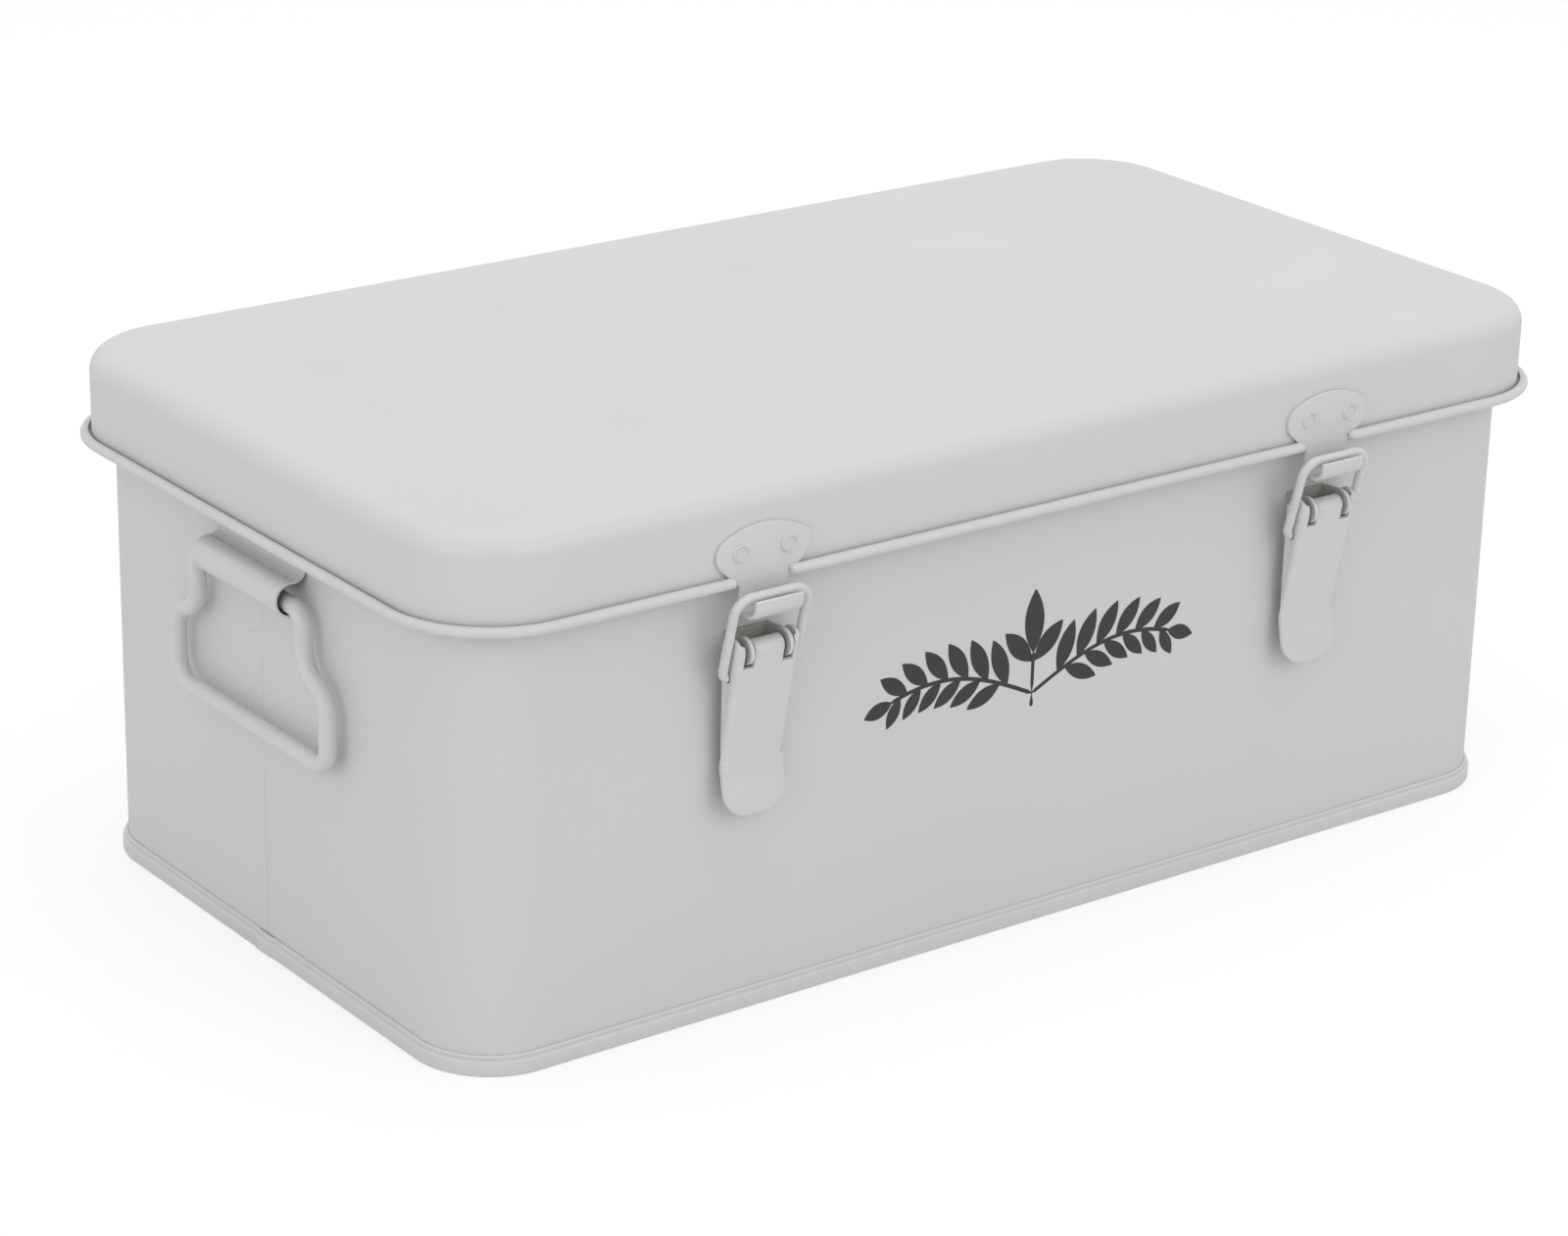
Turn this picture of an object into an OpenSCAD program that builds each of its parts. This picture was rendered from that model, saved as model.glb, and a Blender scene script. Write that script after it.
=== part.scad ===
// Garden seed organizer box: a coated steel tin with a hinged lid, two draw latches and two end handles.
// The origin is the middle of the standing plane, +X runs along the length, -Y faces the latches, +Z is up.
// All sizes are in millimetres.

/* [Box] */
// Length of the body over its end walls
body_length = 313; // [260:1:400]
// Width of the body over its long walls
body_width = 165; // [130:1:220]
// Height of the closed box
box_height = 127.5; // [120:0.5:170]
// Radius of the body's upright corners
body_corner_r = 18.5; // [14:0.5:28]
// Thickness of the body, bottom and lid sheet
sheet = 0.7; // [0.5:0.1:0.9]
// Radius of the curl along the body's open edge
body_curl_r = 1.35; // [1.2:0.05:1.5]

/* [Lid] */
// How far the lid wall stands outside the body wall
lid_overhang = 5.5; // [5:0.1:7]
// Depth of the lid from its top to the bottom of its curled rim
lid_depth = 21.8; // [20:0.1:26]
// Radius of the drawn edge between the lid's top and its wall
lid_edge_r = 5.3; // [3:0.1:6]
// Radius of the lid's curled rim
lid_curl_r = 1.25; // [1.15:0.05:1.35]
// How far the curled rim stands out beyond the lid's wall
lid_curl_out = 2.7; // [2.6:0.05:2.8]
// Gap between the closed lid and the body's rim
lid_seat_gap = 0.3; // [0.2:0.05:0.5]

/* [Bottom seam] */
// Height of the double seam that joins the bottom to the body
seam_height = 3.7; // [3:0.1:5]
// How far the seam stands out from the body wall
seam_out = 1.4; // [1.3:0.05:1.9]
// Height of the bottom panel above the standing plane
panel_recess = 2.5; // [2:0.1:4]
// Place of the upright lock seam's line on the left end wall, across the box
lock_seam_y = 2; // [1.8:0.1:3]

/* [Latches] */
// Distance between the middles of the two latches
latch_span = 166.5; // [140:0.5:190]
// Width of the strike plate's head
strike_width = 25.4; // [24:0.2:30]
// Height of the strike plate's head above the lid rim
strike_rise = 13.5; // [13.2:0.1:14.2]
// Width of the strike plate's neck and hook
neck_width = 12.8; // [11:0.2:14]
// Thickness of the strike plate
strike_t = 1; // [0.8:0.1:1.2]
// Inner radius of the hook that holds the bail
hook_r = 2.7; // [2.5:0.05:3]
// Thickness of the bail wire
bail_wire_d = 2.2; // [2:0.1:2.4]
// Distance between the middles of the bail's two arms
bail_span = 19.8; // [19.7:0.1:22]
// Height of the bail's bar above the lever pivot
bail_reach = 13.4; // [13.2:0.1:14]
// Outer width of the lever
lever_width = 16.8; // [16.6:0.1:17]
// Length of the lever from its pivot to its bend
lever_shank = 28.4; // [24:0.2:36]
// Length of the lever's bent tip
lever_tip = 11; // [9:0.2:14]
// Lean of the shut lever towards the box, in degrees
lever_lean = 11.5; // [10:0.5:13]
// Outward bend of the lever's tip, in degrees
lever_tip_bend = 22; // [14:1:26]
// Depth of the lever's side flanges beside its pivot
lever_depth = 6.4; // [6:0.05:6.6]
// Thickness of the lever and latch base sheet
latch_t = 0.9; // [0.7:0.05:1]
// Thickness of the lever's pivot pin
latch_pin_d = 2.6; // [2.2:0.1:2.8]

/* [End handles] */
// Thickness of the handle rod
handle_rod_d = 4.2; // [3.6:0.1:4.4]
// Width of the handle at its top, between rod middles
handle_top_width = 47; // [46:0.2:52]
// Width of the handle at its grip, between rod middles
handle_grip_width = 66.6; // [64:0.2:74]
// Drop of the handle from its pivot to its grip
handle_drop = 34.6; // [33:0.1:46]
// Width of the handle bracket
bracket_width = 37; // [30:0.5:37]
// Thickness of the handle bracket
bracket_t = 0.6; // [0.5:0.05:0.9]
// Outer radius of the bracket's curl
bracket_curl_r = 4.2; // [3.9:0.05:4.6]
// Drop of the bracket's curl below the lid rim
bracket_drop = 10.8; // [10:0.1:14]

/* [Hinges] */
// Distance between the middles of the two hinges
hinge_span = 180; // [170:1:220]
// Width of each hinge
hinge_width = 34; // [30:1:40]
// Thickness of the hinge leaves
hinge_t = 1; // [0.8:0.05:1.1]
// Thickness of the hinge pins
hinge_pin_d = 3; // [2.6:0.1:3.2]

/* [Rivets] */
// Diameter of the rivet heads
rivet_head_d = 4; // [3.8:0.1:4.8]
// Diameter of the rivet shanks
rivet_shank_d = 2.4; // [2:0.1:2.6]
// Distance between the two rivets of a strike plate
strike_rivet_span = 13; // [12.6:0.1:13.6]

/* [Dividers] */
// Room above the dividers, up to the closed lid
divider_headroom = 35.6; // [28:0.2:60]
// Thickness of the divider sheet
divider_t = 0.6; // [0.5:0.05:0.8]
// Number of cross dividers
cross_dividers = 3; // [3]

/* [Hidden] */
$fn = 48;
eps = 0.01;
// A bent piece that runs on into the next one is this much thinner on each side there, and runs on this far,
// or turns on by this many degrees
thin_lap = 0.03;
lap_length = 0.3;
lap_turn = 5;

coat_colour = "#dededc";
shade_colour = "#d3d3d1";
steel_colour = "#a9a49a";

// Body heights and outlines
body_top_z = box_height - sheet - lid_seat_gap;
floor_z = panel_recess + sheet;
wall_x = body_length / 2;
wall_y = body_width / 2;
seam_ridge_r = 0.5;
seam_gap = 0.3;
seam_fold_gap = 0.4;
lock_lap = 8;
lock_lap_edge = 1.2;
lock_groove = 0.4;
// A curled edge's end lies this many degrees round from its outermost point
curl_end = 105;
lid_curl_end = 125;
lid_rim_fold_r = 1;

// Lid heights and outlines
lid_corner_r = body_corner_r + lid_overhang;
lid_length = body_length + 2 * lid_overhang;
lid_width = body_width + 2 * lid_overhang;
lid_wall_y = lid_width / 2;
lid_rim_z = box_height - lid_depth;
lid_curl_z = lid_rim_z + lid_curl_r;

// Strike plate and hook
strike_top_z = lid_rim_z + strike_rise;
strike_arc_r = 22;
shoulder_r = 4.1;
shoulder_x = strike_width / 2 - shoulder_r;
strike_arc_z = strike_top_z - strike_arc_r;
shoulder_z = strike_arc_z + sqrt(pow(strike_arc_r - shoulder_r, 2) - pow(shoulder_x, 2));
flank_angle = 48;
flank_gap = 0.5;
strike_rivet_z = lid_rim_z + 7.5;
hook_y = -(lid_wall_y + strike_t + hook_r);
hook_z = lid_rim_z - 3.2;
hook_lip = 1.3;

// Lever pivot, bail pivot and the bail's bar, as the latch lies shut
bar_out = 0.9;
bar_rise = 1.5;
bar_y = hook_y - bar_out;
bar_z = hook_z + bar_rise;
pivot_y = -(lid_wall_y + 1.6);
pivot_z = bar_z - bail_reach;
bail_pivot_in = 2.1;
bail_pivot_drop = 6.4;
bail_pivot_y = pivot_y + bail_pivot_in;
bail_pivot_z = pivot_z - bail_pivot_drop;
bail_length = sqrt(pow(bar_y - bail_pivot_y, 2) + pow(bar_z - bail_pivot_z, 2));
bail_lean = atan2(bail_pivot_y - bar_y, bar_z - bail_pivot_z);
bail_corner_r = 4;
bail_elbow_r = 2;
running_fit = 0.05;
knuckle_in_r = latch_pin_d / 2 + running_fit;
knuckle_out_r = knuckle_in_r + latch_t;
ear_r = knuckle_out_r + 0.95;
ear_t = 1;
ear_x = 5.8;
ear_gap = 0.9;
tongue_half = ear_x - ear_t - ear_gap;
slot_half = ear_x + ear_gap;
slot_drop = ear_r + 0.2;
base_drop = 22.6;
base_rivet_drops = [9.6, 17.6];
lever_fold_r = 1.5;
lever_bend_r = 3;
bail_hole_r = bail_wire_d / 2 + 0.15;

// Handle and bracket
handle_rod_r = handle_rod_d / 2;
bracket_curl_in_r = bracket_curl_r - bracket_t;
bracket_curl_u = bracket_curl_r - 0.05;
bracket_curl_z = lid_rim_z - bracket_drop;
bracket_lip = -92;
bracket_bend_r = 3;
bracket_bend_u = bracket_t / 2 + bracket_bend_r;
bracket_reach = bracket_curl_r - bracket_t / 2 + bracket_bend_r;
bracket_bend_z = bracket_curl_z + sqrt(pow(bracket_reach, 2) - pow(bracket_curl_u - bracket_bend_u, 2));
bracket_turn = atan2(bracket_bend_z - bracket_curl_z, bracket_bend_u - bracket_curl_u);
bracket_top_z = lid_rim_z + 6.3;
bracket_rivet_z = lid_rim_z + 3;
bracket_rivet_span = 24;
handle_seat_gap = 0.3;
handle_x = wall_x + bracket_curl_u;
handle_z = bracket_curl_z - (bracket_curl_in_r - handle_rod_r - handle_seat_gap);
handle_elbow_r = 4;
handle_corner_r = 5.5;
handle_arm_drop = 8.8;
handle_flare_r = 7;

// Hinges
hinge_barrel_r = hinge_pin_d / 2 + hinge_t;
hinge_y = lid_wall_y + hinge_barrel_r - hinge_t;
hinge_z = lid_rim_z - hinge_barrel_r - 0.4;
hinge_knuckle = hinge_width / 3;
knuckle_gap = 0.3;
knuckle_cut = hinge_barrel_r + 0.7;
hinge_fit = 0.06;
hinge_rivet_span = 18;
box_rivet_drop = 17;
lid_rivet_rise = 13.5;
box_leaf_margin = 7;
lid_leaf_margin = 4.5;
box_leaf_neck = 2.8;
box_leaf_step = 4.9;
lid_leaf_step = 2.5;
rim_clearance = 0.6;
hinge_box_rivet_z = hinge_z - box_rivet_drop;
hinge_lid_rivet_z = hinge_z + lid_rivet_rise;

// Rivets
rivet_head_h = 0.9;
rivet_tail_h = 0.5;
rivet_tail_d = 3.8;
rivet_hole_r = rivet_shank_d / 2 + 0.05;

// Dividers
inner_x = wall_x - sheet;
inner_y = wall_y - sheet;
divider_pitch = 2 * inner_x / (cross_dividers + 1);
divider_height = box_height - sheet - divider_headroom - floor_z;
divider_side_gap = 0.3;
divider_flange = 10;
lap_slot = divider_t + 0.2;
hem_r = 0.9;

// A ring's part between two angles, counted anticlockwise from the first to the last
module ring_sector(r_out, r_in, from, to) {
    steps = ceil((to - from) / 60);
    reach = 3 * r_out;
    intersection() {
        difference() {
            circle(r = r_out);
            circle(r = r_in);
        }
        polygon(concat([[0, 0]], [for (i = [0:steps])
            reach * [cos(from + (to - from) * i / steps), sin(from + (to - from) * i / steps)]]));
    }
}

// One section swept round a rectangle with rounded corners
// The section's first axis runs outwards from the corner's middle, its second axis is the height
module swept_frame(length, width, corner_r) {
    for (k = [0:3]) {
        half_out = (k % 2 == 0 ? length : width) / 2 - corner_r;
        half_run = (k % 2 == 0 ? width : length) / 2 - corner_r;
        rotate([0, 0, 90 * k]) translate([half_out, half_run, 0]) {
            rotate([90, 0, 0]) linear_extrude(2 * half_run) children();
            rotate_extrude(angle = 90, $fn = 64) children();
        }
    }
}

// A section in the Y-Z plane drawn out along X, centred on x
module along_x(x, width) {
    translate([x - width / 2, 0, 0]) rotate([90, 0, 90]) linear_extrude(width) children();
}

// A section in the X-Z plane drawn out towards -Y from the plane y
module towards_front(y, depth) {
    translate([0, y, 0]) rotate([90, 0, 0]) linear_extrude(depth) children();
}

// A rivet along +Z, with the underside of its head at the origin and its shank below
module rivet(grip) {
    edge = 0.35;
    cylinder(d = rivet_head_d, h = rivet_head_h - edge);
    translate([0, 0, rivet_head_h - edge])
        cylinder(d1 = rivet_head_d, d2 = rivet_head_d - 2 * edge, h = edge);
    translate([0, 0, -grip]) cylinder(d = rivet_shank_d, h = grip + eps);
    translate([0, 0, -grip - rivet_tail_h]) cylinder(d = rivet_tail_d, h = rivet_tail_h);
}

module rivet_hole(length) {
    cylinder(r = rivet_hole_r, h = length, center = true);
}

// Places of the rivets, so that plates, walls and rivets share them
module at_strike_rivets() {
    for (side = [-1, 1], pair = [-1, 1])
        translate([side * latch_span / 2 + pair * strike_rivet_span / 2, -lid_wall_y, strike_rivet_z])
            rotate([90, 0, 0]) children();
}

module at_base_rivets() {
    for (side = [-1, 1], drop = base_rivet_drops)
        translate([side * latch_span / 2, -wall_y, pivot_z - drop]) rotate([90, 0, 0]) children();
}

module at_bracket_rivets() {
    for (side = [-1, 1], pair = [-1, 1])
        translate([side * wall_x, pair * bracket_rivet_span / 2, bracket_rivet_z])
            rotate([0, side * 90, 0]) children();
}

module at_hinge_rivets(y, z) {
    for (side = [-1, 1], pair = [-1, 1])
        translate([side * hinge_span / 2 + pair * hinge_rivet_span / 2, y, z])
            rotate([-90, 0, 0]) children();
}

// Body: the wrapped wall with its curled top edge, its ridge above the bottom seam and its lock seam
module body_section() {
    curl_u = body_corner_r - sheet + body_curl_r;
    curl_z = body_top_z - body_curl_r;
    translate([body_corner_r - sheet, sheet]) square([sheet, curl_z - sheet]);
    translate([curl_u, curl_z]) ring_sector(body_curl_r, body_curl_r - sheet, -curl_end, 180);
    translate([body_corner_r - eps, sheet])
        square([seam_out - sheet - 0.1, seam_height - sheet - seam_fold_gap]);
    intersection() {
        translate([body_corner_r, seam_height + seam_gap + seam_ridge_r]) circle(r = seam_ridge_r, $fn = 24);
        translate([body_corner_r - eps, 0]) square([1, seam_height + 2]);
    }
}

module body_shell() color(coat_colour) {
    difference() {
        union() {
            swept_frame(body_length, body_width, body_corner_r) body_section();
            translate([-inner_x - eps, lock_seam_y - lock_lap_edge, floor_z + 0.5])
                cube([sheet + eps, lock_lap, body_top_z - floor_z - 8]);
        }
        translate([-wall_x - eps, lock_seam_y - lock_groove / 2, seam_height + 1.5])
            cube([sheet / 2, lock_groove, body_top_z - seam_height - 6]);
        at_base_rivets() rivet_hole(4 * sheet);
        at_bracket_rivets() rivet_hole(4 * sheet);
        at_hinge_rivets(wall_y, hinge_box_rivet_z) rivet_hole(4 * sheet);
    }
}

// Bottom: the recessed panel, its inner wall and the band of the double seam
module bottom_section() {
    band_u = body_corner_r + seam_out - sheet;
    translate([0, panel_recess]) square([body_corner_r - 2 * sheet + eps, sheet]);
    translate([body_corner_r - 2 * sheet, 0]) square([sheet, floor_z]);
    translate([body_corner_r - 2 * sheet, 0]) square([band_u - body_corner_r + 2 * sheet, sheet]);
    translate([band_u, sheet]) square([sheet, seam_height - sheet]);
    translate([band_u, sheet]) intersection() {
        circle(r = sheet);
        translate([0, -sheet]) square(sheet);
    }
}

module bottom_panel() color(coat_colour) {
    bump_width = 6;
    bump_out = 0.3;
    swept_frame(body_length, body_width, body_corner_r) bottom_section();
    translate([body_corner_r - wall_x, body_corner_r - wall_y, panel_recess])
        cube([body_length - 2 * body_corner_r, body_width - 2 * body_corner_r, sheet]);
    translate([-wall_x - seam_out - bump_out, lock_seam_y - bump_width / 2, sheet])
        cube([bump_out + sheet / 2, bump_width, seam_height - sheet]);
}

// Lid: a drawn pan whose rim is folded outwards and curled up, cut away round the two strike plates
module lid_section() {
    translate([0, box_height - sheet]) square([lid_corner_r - lid_edge_r, sheet]);
    translate([lid_corner_r - lid_edge_r, box_height - lid_edge_r])
        ring_sector(lid_edge_r, lid_edge_r - sheet, 0, 90);
    fold_u = lid_corner_r - sheet + lid_rim_fold_r;
    fold_z = lid_rim_z + lid_rim_fold_r;
    curl_u = lid_corner_r + lid_curl_out - lid_curl_r;
    translate([lid_corner_r - sheet, fold_z]) square([sheet, box_height - lid_edge_r - fold_z]);
    translate([fold_u, fold_z]) ring_sector(lid_rim_fold_r, lid_rim_fold_r - sheet, 180, 270);
    translate([fold_u, lid_rim_z]) square([curl_u - fold_u, sheet]);
    translate([curl_u, lid_curl_z]) ring_sector(lid_curl_r, lid_curl_r - sheet, -90, lid_curl_end);
}

module lid_shell() color(coat_colour) {
    curl_out = lid_curl_out + 1;
    difference() {
        union() {
            swept_frame(lid_length, lid_width, lid_corner_r) lid_section();
            translate([lid_corner_r - lid_length / 2, lid_corner_r - lid_width / 2, box_height - sheet])
                cube([lid_length - 2 * lid_corner_r, lid_width - 2 * lid_corner_r, sheet]);
        }
        for (side = [-1, 1])
            translate([side * latch_span / 2, 0, 0]) towards_front(-lid_wall_y - eps, curl_out)
                strike_flank(flank_gap, lid_rim_z - 1);
        at_strike_rivets() rivet_hole(4 * sheet);
        at_hinge_rivets(lid_wall_y, hinge_lid_rivet_z) rivet_hole(4 * sheet);
    }
}

// The strike plate's tapering flanks, widened by a gap, down to the height low_z
module strike_flank(gap, low_z) {
    flank_x = shoulder_x + shoulder_r * cos(flank_angle);
    flank_z = shoulder_z - shoulder_r * sin(flank_angle);
    neck = neck_width / 2;
    neck_z = flank_z - (flank_x - neck) / tan(flank_angle);
    polygon([[-neck - gap, low_z], [neck + gap, low_z], [neck + gap, neck_z],
        [flank_x + gap, flank_z], [-flank_x - gap, flank_z], [-neck - gap, neck_z]]);
}

module strike_outline() {
    arc_half = shoulder_x * strike_arc_r / (strike_arc_r - shoulder_r);
    flank_z = shoulder_z - shoulder_r * sin(flank_angle);
    intersection() {
        translate([0, strike_arc_z]) circle(r = strike_arc_r, $fn = 96);
        translate([-arc_half, flank_z]) square([2 * arc_half, strike_rise]);
    }
    for (side = [-1, 1]) translate([side * shoulder_x, shoulder_z]) circle(r = shoulder_r);
    strike_flank(0, hook_z);
}

module hook_section() {
    outer = hook_r + strike_t;
    translate([hook_y, hook_z]) {
        ring_sector(outer, hook_r, 180, 360);
        translate([-outer, 0]) square([strike_t, hook_lip - strike_t / 2]);
        translate([-hook_r - strike_t / 2, hook_lip - strike_t / 2]) circle(d = strike_t, $fn = 24);
    }
}

module latch_strike(side) color(coat_colour) {
    difference() {
        union() {
            translate([side * latch_span / 2, 0, 0]) towards_front(-lid_wall_y, strike_t) strike_outline();
            along_x(side * latch_span / 2, neck_width) hook_section();
        }
        at_strike_rivets() rivet_hole(4 * strike_t);
    }
}

module strike_rivets() color(coat_colour) {
    at_strike_rivets() translate([0, 0, strike_t]) rivet(strike_t + sheet);
}

// Latch base: a plate on the body wall with two round-ended ears that carry the pivot pin
module latch_base(side) color(shade_colour) {
    plate_y = -wall_y - latch_t;
    ear_low_z = pivot_z - 8;
    difference() {
        union() {
            translate([side * latch_span / 2 - ear_x, plate_y, pivot_z - base_drop])
                cube([2 * ear_x, latch_t, base_drop + ear_r - 0.6]);
            for (ear = [-1, 1]) {
                ear_mid = side * latch_span / 2 + ear * (ear_x - ear_t / 2);
                along_x(ear_mid, ear_t) union() {
                    polygon([[-wall_y, pivot_z + ear_r - 0.6], [pivot_y, pivot_z + ear_r],
                        [pivot_y, pivot_z - ear_r], [-wall_y, ear_low_z]]);
                    translate([pivot_y, pivot_z]) circle(r = ear_r);
                }
            }
        }
        along_x(side * latch_span / 2, 3 * ear_x) translate([pivot_y, pivot_z])
            circle(r = latch_pin_d / 2 + 0.02);
        at_base_rivets() rivet_hole(4 * latch_t);
    }
}

module latch_base_rivets() color(steel_colour) {
    at_base_rivets() translate([0, 0, latch_t]) rivet(latch_t + sheet);
}

module latch_pin(side) color(steel_colour) {
    pin_length = lever_width - 2 * latch_t - 0.4;
    along_x(side * latch_span / 2, pin_length) translate([pivot_y, pivot_z]) circle(d = latch_pin_d);
}

// Lever: a folded channel whose tongue curls over the pin, with slots for the ears and a bent tip
module lever_channel_section() {
    half = lever_width / 2;
    back_y = lever_depth - knuckle_out_r + 1;
    inner = lever_fold_r - latch_t;
    for (side = [-1, 1]) mirror([side > 0 ? 0 : 1, 0]) {
        translate([half - latch_t, -knuckle_out_r + lever_fold_r])
            square([latch_t, back_y + knuckle_out_r - lever_fold_r]);
        translate([half - lever_fold_r, -knuckle_out_r + lever_fold_r])
            ring_sector(lever_fold_r, inner, -90, 0);
    }
    translate([-half + lever_fold_r, -knuckle_out_r]) square([lever_width - 2 * lever_fold_r, latch_t]);
}

// The lever seen from its side, which rounds its top
// The flanges' back edges lie parallel to the wall while the latch is shut, so the flanges run out downwards
module lever_side_section() {
    top_r = ear_r - 0.3;
    front_y = -knuckle_out_r - eps;
    back_y = lever_depth - knuckle_out_r;
    low_y = latch_t - knuckle_out_r + 0.2;
    low_z = -(back_y - low_y) / tan(lever_lean);
    translate([front_y + top_r, 0]) circle(r = top_r);
    polygon([[front_y, 0], [back_y, 0], [low_y, low_z], [low_y, -lever_shank - eps],
        [front_y, -lever_shank - eps]]);
}

module lever_tip_outline() {
    half = lever_width / 2 - thin_lap;
    corner = 6;
    translate([-half, corner - lever_tip]) square([2 * half, lever_tip - corner + lap_length]);
    for (side = [-1, 1]) translate([side * (half - corner), corner - lever_tip]) circle(r = corner);
    translate([-half + corner, -lever_tip]) square([2 * (half - corner), corner]);
}

module latch_lever(side) color(coat_colour) {
    translate([side * latch_span / 2, pivot_y, pivot_z]) difference() {
        rotate([lever_lean, 0, 0]) union() {
            difference() {
                intersection() {
                    translate([0, 0, -lever_shank])
                        linear_extrude(lever_shank + ear_r) lever_channel_section();
                    along_x(0, lever_width + 2) lever_side_section();
                }
                translate([-slot_half, -lever_depth, -slot_drop])
                    cube([2 * slot_half, 3 * lever_depth, slot_drop + 2 * ear_r]);
            }
            translate([-tongue_half, -knuckle_out_r, -slot_drop - eps])
                cube([2 * tongue_half, latch_t, slot_drop + eps]);
            along_x(0, 2 * tongue_half) ring_sector(knuckle_out_r, knuckle_in_r, -30, 180);
            translate([0, -knuckle_out_r - lever_bend_r, -lever_shank]) {
                along_x(0, lever_width)
                    ring_sector(lever_bend_r + latch_t, lever_bend_r, -lever_tip_bend, 0);
                rotate([-lever_tip_bend, 0, 0]) translate([0, lever_bend_r + latch_t - thin_lap, 0])
                    rotate([90, 0, 0]) linear_extrude(latch_t - 2 * thin_lap) lever_tip_outline();
            }
        }
        along_x(0, lever_width + 2) translate([bail_pivot_in, -bail_pivot_drop]) circle(r = bail_hole_r);
    }
}

// Bail: a wire loop whose two ends turn in through the lever's flanges
module bend(bend_r, wire_r, from, to) {
    rotate([0, 0, from]) rotate_extrude(angle = to - from)
        translate([bend_r, 0]) circle(r = wire_r, $fn = 32);
}

module latch_bail(side) color(coat_colour) {
    wire_r = bail_wire_d / 2;
    arm_x = bail_span / 2;
    end_x = lever_width / 2 - latch_t - 0.5;
    translate([side * latch_span / 2, bail_pivot_y, bail_pivot_z]) rotate([bail_lean, 0, 0])
        rotate([90, 0, 0]) for (arm = [0, 1]) mirror([arm, 0, 0]) {
            translate([end_x, 0, 0]) rotate([0, 90, 0])
                cylinder(r = wire_r, h = arm_x - bail_elbow_r - end_x, $fn = 32);
            translate([arm_x - bail_elbow_r, bail_elbow_r, 0]) bend(bail_elbow_r, wire_r, -90, 0);
            translate([arm_x, bail_elbow_r, 0]) rotate([-90, 0, 0])
                cylinder(r = wire_r, h = bail_length - bail_elbow_r - bail_corner_r, $fn = 32);
            translate([arm_x - bail_corner_r, bail_length - bail_corner_r, 0])
                bend(bail_corner_r, wire_r, 0, 90);
            translate([0, bail_length, 0]) rotate([0, 90, 0])
                cylinder(r = wire_r, h = arm_x - bail_corner_r, $fn = 32);
        }
}

// Handle bracket: a flange on the end wall that sweeps out and curls under the rod
// The section's first axis runs outwards from the end wall, its second axis is the height
module bracket_section() {
    translate([bracket_curl_u, bracket_curl_z])
        ring_sector(bracket_curl_r, bracket_curl_in_r, bracket_lip, bracket_turn);
    translate([bracket_bend_u, bracket_bend_z])
        ring_sector(bracket_bend_r + bracket_t / 2 - thin_lap, bracket_bend_r - bracket_t / 2 + thin_lap,
            180, 180 + bracket_turn + lap_turn);
    translate([0, bracket_bend_z]) square([bracket_t, bracket_top_z - bracket_bend_z]);
}

// What is drawn for the right end is turned half round for the left end
module at_end(side) {
    rotate([0, 0, side > 0 ? 0 : 180]) children();
}

module handle_bracket(side) color(coat_colour) {
    difference() {
        at_end(side) translate([wall_x, bracket_width / 2, 0]) rotate([90, 0, 0])
            linear_extrude(bracket_width) bracket_section();
        at_bracket_rivets() rivet_hole(4 * bracket_t);
    }
}

module handle_bracket_rivets() color(coat_colour) {
    at_bracket_rivets() translate([0, 0, bracket_t]) rivet(bracket_t + sheet);
}

// End handle: one bent rod, narrow at the bracket and flared to a wide grip
module end_handle(side) color(coat_colour) {
    r = handle_rod_r;
    top = handle_top_width / 2;
    grip = handle_grip_width / 2;
    flare_r = handle_flare_r;
    flare_angle = acos(1 - (grip - top) / (2 * flare_r));
    flare_end = handle_arm_drop + 2 * flare_r * sin(flare_angle);
    at_end(side) translate([handle_x, 0, handle_z]) rotate([90, 0, 90])
        for (arm = [0, 1]) mirror([arm, 0, 0]) {
            rotate([0, 90, 0]) cylinder(r = r, h = top - handle_elbow_r);
            translate([top - handle_elbow_r, -handle_elbow_r, 0]) bend(handle_elbow_r, r, 0, 90);
            translate([top, -handle_elbow_r, 0]) rotate([90, 0, 0])
                cylinder(r = r, h = handle_arm_drop - handle_elbow_r);
            translate([top + flare_r, -handle_arm_drop, 0]) bend(flare_r, r, 180, 180 + flare_angle);
            translate([grip - flare_r, -flare_end, 0]) bend(flare_r, r - thin_lap, 0, flare_angle + lap_turn);
            translate([grip, handle_corner_r - handle_drop, 0]) rotate([-90, 0, 0])
                cylinder(r = r, h = handle_drop - handle_corner_r - flare_end + lap_length);
            translate([grip - handle_corner_r, handle_corner_r - handle_drop, 0])
                bend(handle_corner_r, r, -90, 0);
            translate([0, -handle_drop, 0]) rotate([0, 90, 0]) cylinder(r = r, h = grip - handle_corner_r);
        }
}

// Hinges: each has a box leaf with two knuckles, a lid leaf with one knuckle and a pin
module at_hinge(side) {
    translate([side * hinge_span / 2, hinge_y, hinge_z]) children();
}

// A leaf's section: away from the knuckles, in to the wall by a slope, and on along the wall
module leaf_section(barrel_y, foot_y, out_z, in_z, end_z) {
    way = sign(end_z);
    run = barrel_y - foot_y;
    rise = abs(in_z - out_z);
    bend_shift = way * hinge_t * (sqrt(run * run + rise * rise) - rise) / run;
    polygon([[barrel_y, way * knuckle_cut], [barrel_y, out_z], [foot_y, in_z], [foot_y, end_z],
        [foot_y + hinge_t, end_z], [foot_y + hinge_t, in_z + bend_shift],
        [barrel_y + hinge_t, out_z + bend_shift], [barrel_y + hinge_t, way * knuckle_cut]]);
}

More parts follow.
